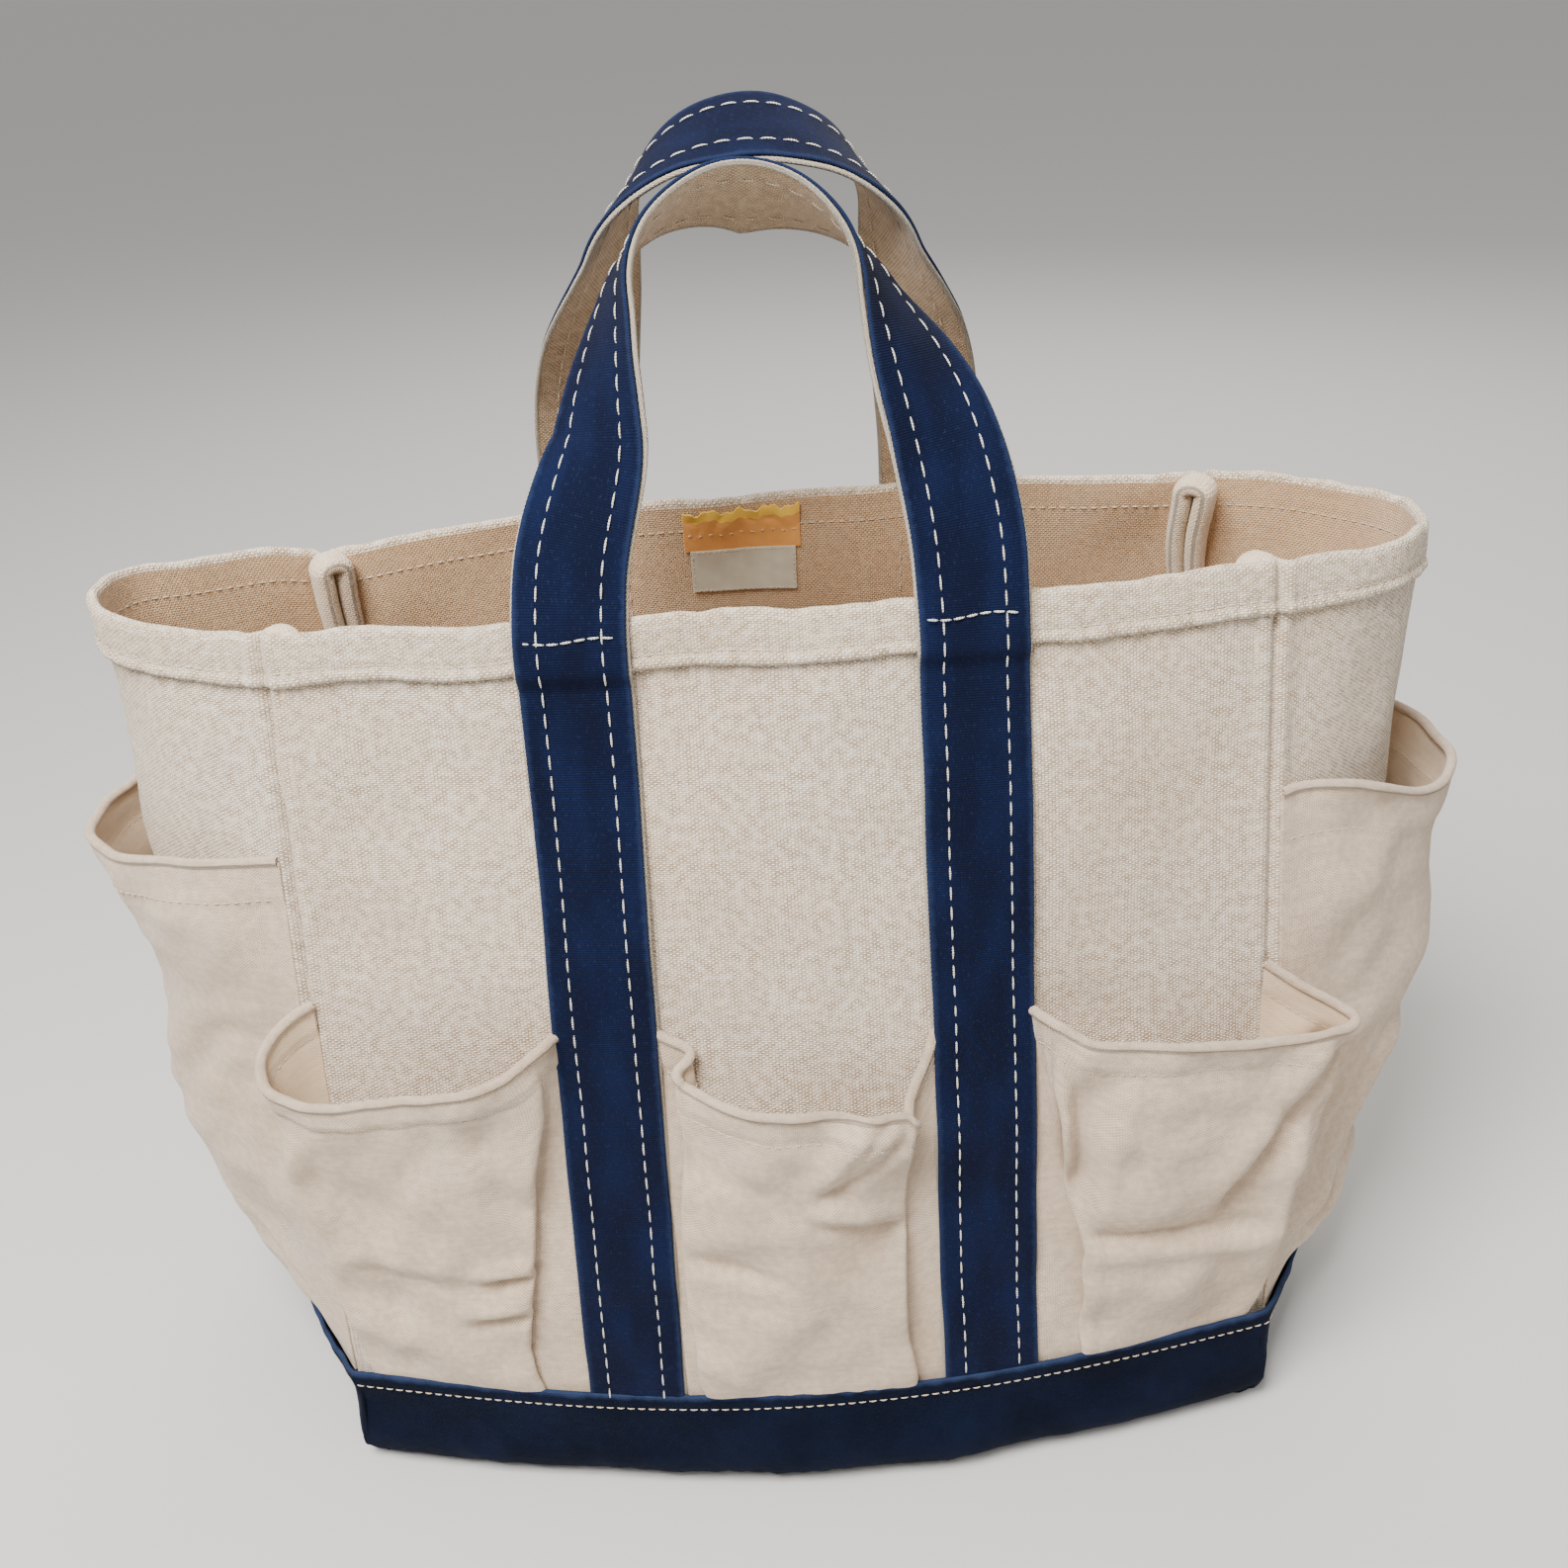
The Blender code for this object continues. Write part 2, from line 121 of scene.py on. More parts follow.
def outline(side, u, z):
    """Plan of one side at a height: u runs -1 to 1 from corner to corner, anticlockwise."""
    t = np.clip(z / HEIGHT, 0, 1)
    corner_x = mix(CORNER_X[0], CORNER_X[1], t)
    corner_y = mix(CORNER_Y[1], CORNER_Y[0], 1 - t ** DEPTH_TAPER)
    turn = u * pi / 2
    if side in ("front", "back"):
        bow = mix(BOW[0], BOW[1], t)
        x, y = corner_x * u, -corner_y - bow * np.cos(turn)
        sign = 1 if side == "front" else -1
    else:
        base, belly, rim = END_BULGES[side]
        bulge = mix(base, mix(belly, rim, t), smooth((z - BELLY_START) / BELLY_RISE))
        sharp = mix(1, END_CORNER_RIM, t)
        x = corner_x + bulge * np.cos(turn)
        y = corner_y * mix(np.sin(turn), u, sharp)
        sign = 1 if side == "right" else -1
    return np.stack([x * sign, y * sign, np.zeros_like(x)], -1)


def plain_skin(side, u, z):
    """The outline with its lower edge rounded in towards the floor."""
    point = outline(side, u, z)
    along = unit(outline(side, u + STEP_U, z) - outline(side, u - STEP_U, z))
    outward = np.stack([along[..., 1], -along[..., 0], np.zeros_like(u)], -1)
    drop = np.clip(FLOOR_Z + BOTTOM_RADIUS - z, 0, BOTTOM_RADIUS)
    inset = BOTTOM_RADIUS - np.sqrt(BOTTOM_RADIUS ** 2 - drop ** 2)
    point = point - outward * inset[..., None]
    point[..., 2] = z
    return point


def skin_normal(side, u, z):
    du = plain_skin(side, u + STEP_U, z) - plain_skin(side, u - STEP_U, z)
    dz = plain_skin(side, u, z + STEP_Z) - plain_skin(side, u, z - STEP_Z)
    return unit(np.cross(du, dz))


def relief(side, u, z, seam):
    """Soft undulation of the cloth, with the seam lines drawn in."""
    x = u * HALF_WIDTH[side]
    seed = SIDE_SEED[side]
    fade = smooth((z - BASE_TOP + 3) / 45)
    bumps = 1.7 * ripple(x, z * 0.8, 95, seed) + 0.5 * ripple(x, z, 36, seed + 1)
    near_corner = smooth((1 - np.abs(u)) / 0.12)
    total = bumps * fade * mix(0.25, 1, near_corner)
    if seam:
        distance = (1 - np.abs(u)) * HALF_WIDTH[side]
        groove = np.exp(-(distance / SEAM_WIDTH) ** 2) * smooth((z - 20) / 30)
        total = total - SEAM_DEPTH * groove
        total = total + SEAM_RIDGE * np.exp(-((distance - 4) / 2.2) ** 2) * fade
    return total


def across_side(count):
    """Positions along a side, closer together towards its corners."""
    v = np.linspace(-1, 1, count)
    return 1.5 * v - 0.5 * v ** 3


def rim_rise(side, u, z):
    """How far the upper cloth is lifted, so that the rim is not level."""
    low, high = CORNER_RISE[side]
    ends = low * ((1 - u) / 2) ** 4 + high * ((1 + u) / 2) ** 4
    wave = 0.9 * ripple(u * HALF_WIDTH[side], 0, 70, SIDE_SEED[side] + 5)
    wave = wave * smooth((1 - np.abs(u)) / 0.2)
    return (ends + wave) * smooth((z - RISE_FROM) / RISE_OVER)


def on_body(side, u, z, offset, seam=False):
    """Points on the cloth body, moved outward by an offset."""
    u, z, offset = np.broadcast_arrays(np.asarray(u, float), np.asarray(z, float),
                                       np.asarray(offset, float))
    point = plain_skin(side, u, z)
    normal = skin_normal(side, u, z)
    point = point + normal * (relief(side, u, z, seam) + offset)[..., None]
    point[..., 2] += rim_rise(side, u, z)
    return point


def strap_x(z):
    """Distance of a strap's centre line from the middle; the straps converge upwards."""
    return mix(STRAP_X[0], STRAP_X[1], np.clip(z / HEIGHT, 0, 1))


def along_front(x, z):
    """The u of a distance from the middle of a long side."""
    t = np.clip(z / HEIGHT, 0, 1)
    return x / mix(CORNER_X[0], CORNER_X[1], t)


# ---- mesh helpers

def link(obj):
    bpy.context.scene.collection.objects.link(obj)
    return obj


class Cloth:
    """Collects the vertices, faces, cloth coordinates and material numbers of one piece."""

    def __init__(self):
        self.points, self.faces, self.uvs, self.slots = [], [], [], []
        self.count = 0

    def add(self, points, uvs, faces, slot=0):
        self.points.append(points.reshape(-1, 3))
        self.uvs.append(uvs.reshape(-1, 2))
        self.faces.append(faces + self.count)
        self.slots.append(np.full(len(faces), slot))
        self.count += len(self.points[-1])

    def piece(self, name, looks):
        points = np.concatenate(self.points) * MM
        uvs = np.concatenate(self.uvs)
        faces = np.concatenate(self.faces)
        mesh = bpy.data.meshes.new(name)
        mesh.vertices.add(len(points))
        mesh.vertices.foreach_set("co", points.ravel())
        mesh.loops.add(faces.size)
        mesh.loops.foreach_set("vertex_index", faces.ravel().astype(np.int32))
        mesh.polygons.add(len(faces))
        mesh.polygons.foreach_set("loop_start", np.arange(0, faces.size, 4, dtype=np.int32))
        mesh.polygons.foreach_set("material_index", np.concatenate(self.slots).astype(np.int32))
        mesh.update(calc_edges=True)
        layer = mesh.uv_layers.new(name="cloth")
        layer.data.foreach_set("uv", uvs[faces.ravel()].ravel())
        mesh.shade_smooth()
        for look in looks:
            mesh.materials.append(LOOKS[look])
        return link(bpy.data.objects.new(name, mesh))

    def settle(self, name, looks, node):
        """A piece that rides on the bag, in place of a node of the frame."""
        obj = self.piece(name, looks)
        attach(obj, "bag")
        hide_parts(node)


def closed(points):
    return np.concatenate([points, points[:1]])


def grid_faces(rows, columns, wrap=False):
    """Quads of a grid whose first index runs along rows."""
    i = np.arange(rows if wrap else rows - 1)[:, None]
    j = np.arange(columns - 1)
    n = (i + 1) % rows
    return np.stack([i * columns + j, n * columns + j, n * columns + j + 1,
                     i * columns + j + 1], -1).reshape(-1, 4)


def cloth_lengths(points):
    """Cloth coordinates in millimetres, measured along the middle of a grid."""
    rows, columns = points.shape[:2]
    across, upward = travel(points[:, columns // 2]), travel(points[rows // 2])
    return np.stack(np.meshgrid(across, upward, indexing="ij"), -1)


def grid_normals(points):
    return unit(np.cross(np.gradient(points, axis=0), np.gradient(points, axis=1)))


EDGE_ANGLES = np.radians([45, 90, 135])


def slab(cloth, points, thickness, outer=0, inner=0, uvs=None, normals=None):
    """A sheet of even thickness with rounded edges over a grid of points."""
    normals = np.broadcast_to(grid_normals(points) if normals is None else normals, points.shape)
    uvs = cloth_lengths(points) if uvs is None else uvs
    rows, columns = points.shape[:2]
    half = thickness / 2
    front, back = points + normals * half, points - normals * half
    faces = grid_faces(rows, columns)
    cloth.add(front, uvs, faces, outer)
    cloth.add(back, uvs, faces[:, ::-1], inner)
    for axis, end, following in ((0, 0, 1), (0, -1, -2), (1, 0, 1), (1, -1, -2)):
        edge, normal = points.take(end, axis), normals.take(end, axis)
        outward = unit(edge - points.take(following, axis))
        ring = ([front.take(end, axis)]
                + [edge + normal * half * cos(turn) + outward * half * sin(turn)
                   for turn in EDGE_ANGLES]
                + [back.take(end, axis)])
        flat = grid_faces(len(edge), len(ring))
        if (axis == 0) == (end == 0):
            flat = flat[:, ::-1]
        cloth.add(np.stack(ring, 1), np.repeat(uvs.take(end, axis)[:, None], len(ring), 1),
                  flat, outer)


def tube(cloth, path, radius, sides=8, slot=0, lean=None):
    """A round cord along a path; lean steadies its turn."""
    tangent = unit(np.gradient(path, axis=0))
    guide = np.tile([0, 0, 1], (len(path), 1)) if lean is None else lean
    side = unit(np.cross(tangent, guide))
    up = unit(np.cross(side, tangent))
    angle = np.linspace(0, 2 * pi, sides, endpoint=False)
    ring = side[:, None] * np.cos(angle)[:, None] + up[:, None] * np.sin(angle)[:, None]
    points = path[:, None] + ring * radius
    uvs = np.stack(np.broadcast_arrays(travel(path)[:, None], angle * 3), -1)
    faces = grid_faces(sides, len(path), wrap=True)
    cloth.add(points.transpose(1, 0, 2), uvs.transpose(1, 0, 2), faces, slot)


def along_path(distance, length, values):
    """Values given at the points of a path, read at distances along it."""
    return np.stack([np.interp(distance, length, values[:, k]) for k in range(3)], -1)


STITCH_RINGS = STITCH_SIDES = 6


def stitches(cloth, path, normals, pitch, dash, thick, slot=0, sink=0.25):
    """A row of sewn stitches, each a short arched thread that dives in at both ends."""
    length = travel(path)
    starts = np.arange(pitch * 0.3, length[-1] - dash, pitch)
    first, middle, last = (along_path(starts + d, length, path) for d in (0, dash * 0.5, dash))
    lift = unit(along_path(starts + dash / 2, length, normals))
    along = unit(last - first)
    side = unit(np.cross(along, lift))
    span = np.linspace(-0.5, 0.5, STITCH_RINGS)
    hump = np.cos(span * pi) ** 0.6
    angle = np.linspace(0, 2 * pi, STITCH_SIDES, endpoint=False)
    spine = (middle[:, None] + along[:, None] * (span * dash)[:, None]
             + lift[:, None] * ((hump - 1) * sink + thick * 0.3)[:, None])
    swell = thick / 2 * np.clip(0.35 + 0.65 * hump, 0.3, 1)
    ring = side[:, None] * np.cos(angle)[:, None] + lift[:, None] * np.sin(angle)[:, None] * 0.8
    points = spine[:, :, None] + ring[:, None] * swell[:, None, None]
    one = grid_faces(STITCH_SIDES, STITCH_RINGS, wrap=True)
    shift = np.arange(len(starts)) * STITCH_SIDES * STITCH_RINGS
    faces = (one + shift[:, None, None]).reshape(-1, 4)
    place = np.stack(np.broadcast_arrays(starts[:, None, None] + span * dash,
                                         np.zeros((1, STITCH_SIDES, 1))), -1)
    cloth.add(points.transpose(0, 2, 1, 3), place, faces, slot)


# ---- materials

class Shader:
    """Small helper to write node materials as expressions."""

    def __init__(self, name):
        self.material = bpy.data.materials.new(name)
        self.material.use_nodes = True
        self.tree = self.material.node_tree
        self.principled = self.tree.nodes["Principled BSDF"]
        # Cloth coordinates in millimetres, along (u) and across (v) the cloth
        self.place = self.node("UVMap", {}, uv_map="cloth")
        self.u, self.v = (self.node("SeparateXYZ", {0: self.place}, output=k) for k in (0, 1))

    def set(self, socket, value):
        if isinstance(value, bpy.types.NodeSocket):
            self.tree.links.new(value, socket)
        else:
            socket.default_value = value

    def node(self, kind, inputs, output=0, **settings):
        """Adds a node, sets its options and inputs, and gives one of its outputs."""
        node = self.tree.nodes.new("ShaderNode" + kind)
        for key, value in settings.items():
            setattr(node, key, value)
        for key, value in inputs.items():
            self.set(node.inputs[key], value)
        return node.outputs[output]

    def math(self, operation, a, b=0):
        return self.node("Math", {0: a, 1: b}, operation=operation)

    def plus(self, a, b):
        return self.math("ADD", a, b)

    def times(self, a, b):
        return self.math("MULTIPLY", a, b)

    def sine(self, a):
        return self.math("SINE", a)

    def noise(self, scale, detail=2, stretch=(1, 1, 1), rough=0.5):
        mapped = self.node("Mapping", {"Vector": self.place,
                                       "Scale": tuple(scale * s for s in stretch)})
        return self.node("TexNoise", {"Vector": mapped, "Scale": 1, "Detail": detail,
                                      "Roughness": rough})

    def ramp(self, value, low, high, out_low=0, out_high=1):
        return self.node("MapRange", {"Value": value, "From Min": low, "From Max": high,
                                      "To Min": out_low, "To Max": out_high},
                         interpolation_type="SMOOTHSTEP")

    def blend(self, a, b, factor):
        return self.node("Mix", {0: factor, 6: a, 7: b}, output=2, data_type="RGBA")

    def finish(self, colour, height, distance, roughness, sheen=0.25, specular=0.25):
        bump = self.node("Bump", {"Distance": distance * MM, "Height": height})
        for key, value in (("Base Color", colour), ("Roughness", roughness), ("Normal", bump),
                           ("Sheen Weight", sheen), ("Sheen Roughness", 0.5),
                           ("Specular IOR Level", specular)):
            self.set(self.principled.inputs[key], value)
        return self.material


def rgb(red, green, blue):
    """Linear colour from the 0-255 values that a screen shows."""
    shares = (channel / 255 for channel in (red, green, blue))
    return tuple(c / 12.92 if c <= 0.04045 else ((c + 0.055) / 1.055) ** 2.4
                 for c in shares) + (1,)


def woven(mat, cell_u, cell_v, wander=0.5):
    """Height of a plain weave, 0 in the gaps and 1 on the threads that lie on top."""
    slub = mat.noise(0.55)
    shift = mat.times(mat.math("SUBTRACT", slub, 0.5), wander * 4)
    a = mat.sine(mat.plus(mat.times(mat.u, pi / cell_u), shift))
    b = mat.sine(mat.plus(mat.times(mat.v, pi / cell_v), shift))
    both = mat.times(a, b)
    over = mat.math("POWER", mat.math("MAXIMUM", both, 0), 0.6)
    under = mat.math("POWER", mat.math("MAXIMUM", mat.times(both, -1), 0), 0.8)
    return mat.plus(over, mat.times(under, 0.22))


def canvas(name, pale, deep, cell=(0.82, 0.92), relief_mm=0.42, wear=0, specks=0, gap_shade_strength=0.85):
    """Natural duck: painted warm shade between the threads, uneven tone, worn or specked cloth."""
    mat = Shader(name)
    weave = woven(mat, *cell)
    broad = mat.noise(0.012, 3)
    streaks = mat.noise(0.25, stretch=(0.25, 3.2, 1))
    tone = mat.plus(mat.times(broad, 0.55), mat.times(streaks, 0.45))
    colour = mat.blend(pale, deep, mat.ramp(tone, 0.3, 0.75))
    # Painted shade: the gaps between the threads are coloured darker and warmer, unevenly
    gap_shade = (deep[0] * 0.35, deep[1] * 0.28, deep[2] * 0.21, 1)
    uneven = mat.noise(0.3, 3)
    gap_shade_share = mat.times(mat.ramp(uneven, 0.25, 0.7, 0.45, 1), gap_shade_strength)
    gap_shaded_colour = mat.blend(colour, gap_shade, gap_shade_share)
    colour = mat.blend(gap_shaded_colour, colour, mat.ramp(weave, 0.02, 0.62))
    if wear:
        rub = mat.noise(0.5, 3, stretch=(0.4, 1.6, 1))
        colour = mat.blend(colour, rgb(246, 240, 230), mat.times(mat.ramp(rub, 0.45, 0.75), wear))
    if specks:
        spot = mat.noise(0.055, 4, rough=0.7)
        colour = mat.blend(colour, rgb(150, 126, 98), mat.times(mat.ramp(spot, 0.68, 0.8), specks))
    fuzz = mat.noise(2.2)
    height = mat.plus(weave, mat.times(fuzz, 0.5))
    return mat.finish(colour, height, relief_mm, 0.93, sheen=0.3)


def ribbed_tape(name):
    """Navy cotton tape: fine cross ribs, paler along both edges."""
    mat = Shader(name)
    wander = mat.times(mat.noise(0.2), 1.6)
    rib = mat.sine(mat.plus(mat.times(mat.v, 2 * pi / 0.85), wander))
    grain = mat.noise(1.6, stretch=(1, 0.35, 1))
    tone = mat.noise(0.045, 4, stretch=(1.6, 0.5, 1))
    colour = mat.blend(rgb(6, 12, 35), rgb(10, 20, 50), mat.ramp(tone, 0.35, 0.72))
    lint = mat.times(mat.ramp(grain, 0.55, 0.85), 0.35)
    colour = mat.blend(colour, rgb(46, 60, 96), lint)
    edge = mat.math("ABSOLUTE", mat.math("SUBTRACT", mat.u, STRAP_WIDTH / 2))
    ragged = mat.plus(edge, mat.times(mat.noise(0.35, 3), 2.4))
    colour = mat.blend(colour, rgb(36, 48, 80), mat.ramp(ragged, 16.7, 19.1, 0, 0.55))
    height = mat.plus(mat.times(rib, 0.3), mat.times(grain, 0.8))
    return mat.finish(colour, height, 0.22, 0.9, sheen=0.02, specular=0.1)


def navy_canvas(name):
    """Navy duck of the base, with lint and a paler rubbed upper edge."""
    mat = Shader(name)
    weave = woven(mat, 0.9, 0.8)
    tone = mat.noise(0.022, 5, rough=0.6)
    colour = mat.blend(rgb(5, 11, 28), rgb(11, 20, 43), mat.ramp(tone, 0.35, 0.7))
    lint = mat.noise(1.2, 3)
    colour = mat.blend(colour, rgb(44, 57, 88), mat.times(mat.ramp(lint, 0.6, 0.85), 0.3))
    edge = mat.plus(mat.v, mat.times(mat.noise(0.12, 3), 3))
    colour = mat.blend(rgb(40, 52, 80), colour, mat.ramp(edge, 1, 3.4))
    height = mat.plus(weave, mat.times(lint, 0.6))
    return mat.finish(colour, height, 0.24, 0.92, sheen=0.01, specular=0.08)


def corded_edge(name):
    """Twisted selvage along the edges of the strap backing."""
    mat = Shader(name)
    twist = mat.sine(mat.times(mat.plus(mat.u, mat.v), 2 * pi / 1.5))
    fray = mat.noise(1.1, 3)
    # Random fray in the tone, with painted shade in the grooves of the twist
    tone = mat.plus(mat.times(twist, 0.25), fray)
    colour = mat.blend(rgb(176, 158, 132), rgb(232, 222, 204), mat.ramp(tone, 0.3, 0.75))
    height = mat.plus(mat.times(twist, 0.5), fray)
    return mat.finish(colour, height, 0.5, 0.93)


def thread(name, colour, ply_shade_colour):
    """Sewing thread, with painted shade between its plies."""
    mat = Shader(name)
    ply = mat.sine(mat.times(mat.u, 2 * pi / 0.9))
    shade = mat.blend(ply_shade_colour, colour, mat.ramp(ply, -1, 0.6))
    return mat.finish(shade, ply, 0.1, 0.8)


def plain_weave(name, pale, deep, cell, relief_mm):
    """Fine flat cloth of the tab and the label."""
    mat = Shader(name)
    weave = woven(mat, cell, cell, wander=0.2)
    tone = mat.noise(0.12, 3)
    # Random tone, with painted shade in the gaps of the weave
    tone_and_gap_shade = mat.plus(tone, mat.times(weave, 0.25))
    colour = mat.blend(deep, pale, mat.ramp(tone_and_gap_shade, 0.35, 0.85))
    return mat.finish(colour, weave, relief_mm, 0.75)


LOOKS = {
    "wall": canvas("canvas_wall", rgb(255, 244, 228), rgb(249, 227, 199), cell=(1.2, 0.71),
                   relief_mm=0.6, gap_shade_strength=1),
    # Painted shade: a darker, warmer copy of the wall canvas for the inner faces and floor, for
    # the shade and warm bounce inside the bag
    "inside": canvas("canvas_inside_painted_shade", rgb(230, 196, 156), rgb(216, 178, 136), gap_shade_strength=0.55),
    "tuck": canvas("canvas_tuck", rgb(246, 226, 198), rgb(232, 206, 172), wear=0.25, gap_shade_strength=0.5),
    "hem": canvas("canvas_hem", rgb(251, 238, 215), rgb(238, 215, 184), cell=(1.1, 0.71),
                  relief_mm=0.6, wear=0.5, gap_shade_strength=0.95),
    # Painted shade: the pockets are a darker copy of the wall canvas; their specks are real stains
    "pocket": canvas("canvas_pocket_painted_shade", rgb(234, 213, 190), rgb(218, 192, 164), cell=(0.7, 0.5),
                     relief_mm=0.28, specks=0.2, gap_shade_strength=0.65),
    # Painted shade: the pocket's inner face, seen in the pocket mouths, darker and warmer still
    "pocket_inside": canvas("canvas_pocket_inside_painted_shade", rgb(228, 203, 173), rgb(213, 186, 153),
                            cell=(0.42, 0.46), relief_mm=0.14, gap_shade_strength=0.3),
    "webbing": canvas("strap_webbing", rgb(214, 190, 158), rgb(196, 168, 134), cell=(0.75, 0.75),
                      relief_mm=0.2),
    "tape": ribbed_tape("navy_tape"),
    "base": navy_canvas("navy_base_canvas"),
    "cord": corded_edge("strap_selvage"),
    "white": thread("white_thread", rgb(236, 232, 222), rgb(176, 172, 162)),
    "natural": thread("natural_thread", rgb(224, 208, 186), rgb(176, 158, 134)),
    "label": plain_weave("blank_label", rgb(214, 207, 186), rgb(196, 188, 165), 0.35, 0.05),
    "tab": plain_weave("orange_tab", rgb(236, 168, 88), rgb(222, 150, 74), 0.4, 0.06),
    "tab_edge": plain_weave("yellow_edge", rgb(246, 204, 84), rgb(236, 184, 60), 0.4, 0.06),
}


# ---- walls and rim

# The folded hem from the inside of the rim to its lower edge: outward and up from the rim
HEM_PROFILE = [
    (0, -1.9), (0.05, -1), (0.35, -0.35), (0.95, 0), (1.6, -0.15), (2.1, -0.75),
    (2.4, -1.8), (2.45, -3.4), (2.42, -6.4), (2.42, -9.4), (2.3, -11.2), (1.95, -12.2),
    (2.15, -13.1), (2.8, -14.1), (3.1, -15.1), (2.8, -16), (2.15, -16.4),
]
HEM_STITCH_ROW = 11
HEM_PITCH = 3.9
WALL_ROWS = 120


def build_walls():
    for side in SIDES:
        u = across_side(SIDE_COLUMNS[side])
        z = np.linspace(FLOOR_Z + 4, HEIGHT - WALL, WALL_ROWS)
        points = on_body(side, u[:, None], z, 0, seam=True)
        cloth = Cloth()
        slab(cloth, points, WALL, 0, 1)
        cloth.settle("wall_" + side, ("wall", "inside"), side + "_panel")


def build_hems():
    for side in SIDES:
        u = across_side(SIDE_COLUMNS[side] * 2)
        x = u * HALF_WIDTH[side]
        profile = np.array(HEM_PROFILE)
        weight = smooth((np.arange(len(profile)) - 6) / 8)
        pucker = 0.22 * np.sin(x * 2 * pi / HEM_PITCH + 1.3 * ripple(x, 0, 30, 3))
        pucker = pucker + 0.35 * ripple(x, 0, 9, SIDE_SEED[side] + 8)
        offset = profile[:, 0] + pucker[:, None] * weight
        droop = 0.5 * ripple(x, 0, 26, SIDE_SEED[side] + 9)
        crest = 0.4 * ripple(x, 0, 15, SIDE_SEED[side] + 12)
        z = HEIGHT + profile[:, 1] + droop[:, None] * weight
        z = z + crest[:, None] * (1 - weight)
        points = on_body(side, u[:, None], z, offset, seam=True)
        cloth = Cloth()
        slab(cloth, points[:, ::-1], 1.5)
        row = points[2:-2, HEM_STITCH_ROW]
        lift = skin_normal(side, u, HEIGHT - 12 + 0 * u)[2:-2]
        stitches(cloth, row + lift * 0.7, lift, HEM_PITCH, 2.9, 0.75, slot=1)
        inside = on_body(side, u, HEIGHT - 12.2, -WALL / 2 - 0.05, seam=True)[3:-3]
        stitches(cloth, inside, -lift[1:-1], HEM_PITCH, 2.6, 0.6, slot=1)
        cloth.settle("hem_" + side, ("hem", "natural"), side + "_hem")


TUCK_SPREAD, TUCK_DROP, TUCK_ROWS, TUCK_SIDES = 4.1, 122, 60, 20


def build_tucks():
    """Seam allowances folded in at the rim: two rolls side by side under a rounded top."""
    corners = {"front_left": ("front", -1), "front_right": ("front", 1),
               "back_right": ("back", -1), "back_left": ("back", 1)}
    for seed, (name, (side, u)) in enumerate(corners.items()):
        low, high = CORNER_RISE[side]
        top = HEIGHT + (low if u < 0 else high) - (6.4 if side == "front" else 5)
        arc = np.linspace(0, pi, 25)
        down = np.linspace(0, TUCK_DROP, TUCK_ROWS)[1:]
        height = np.concatenate([top - down[::-1], top + TUCK_SPREAD * 0.75 * np.sin(arc),
                                 top - down])
        lateral = np.concatenate([down * 0 - TUCK_SPREAD, -TUCK_SPREAD * np.cos(arc),
                                  down * 0 + TUCK_SPREAD])
        depth_down = np.clip((top - height) / TUCK_DROP, 0, 1)
        lateral = lateral * mix(1, 0.55, depth_down)
        wobble = 1.1 * ripple(height, 0, 46, 60 + seed) * smooth(depth_down / 0.15)
        base = on_body(side, u, np.minimum(height, HEIGHT), 0)
        base[:, 2] = height
        inward = unit(np.array([-copysign(0.62, base[0, 0]), -copysign(1, base[0, 1]), 0]))
        across = np.array([-inward[1], inward[0], 0])
        reach = mix(6.4, 1.6, smooth(depth_down * 1.05))
        thick = mix(3.85, 2, smooth(depth_down))
        spine = base + inward * (reach + 1)[:, None] + across * (lateral + wobble)[:, None]
        angle = np.linspace(0, 2 * pi, TUCK_SIDES, endpoint=False)
        tangent = unit(np.gradient(spine, axis=0))
        outward = unit(np.cross(tangent, inward))
        deep = np.sign(np.cos(angle)) * np.abs(np.cos(angle)) ** 0.75
        wide = np.sign(np.sin(angle)) * np.abs(np.sin(angle)) ** 0.85
        points = (spine[:, None] + inward * (reach[:, None] * deep)[..., None]
                  + outward[:, None] * (thick[:, None] * wide)[..., None])
        cloth = Cloth()
        cloth.add(points.transpose(1, 0, 2), cloth_lengths(points).transpose(1, 0, 2)[..., ::-1],
                  grid_faces(TUCK_SIDES, len(height), wrap=True))
        cloth.settle("tuck_" + name, ("tuck",), name + "_tuck")


# ---- navy base and floor

BASE_STITCH_DROP = 4.8
UNDERSIDE_Z = 0.95
UNDERSIDE_RINGS = 24
FLOOR_RINGS = 60
UV_SHIFT = 300


def base_ring(z, offset):
    """The whole outline at a height, with normals eased round the corners."""
    rings, normals = [], []
    for side in SIDES:
        u = np.linspace(-1, 1, SIDE_COLUMNS[side] + 1)[:-1]
        level = np.full_like(u, z)
        rings.append(plain_skin(side, u, level))
        normals.append(skin_normal(side, u, level))
    ring, normal = np.concatenate(rings), np.concatenate(normals)
    for _ in range(6):
        normal = unit(normal + np.roll(normal, 1, 0) + np.roll(normal, -1, 0))
    return ring + normal * offset, normal


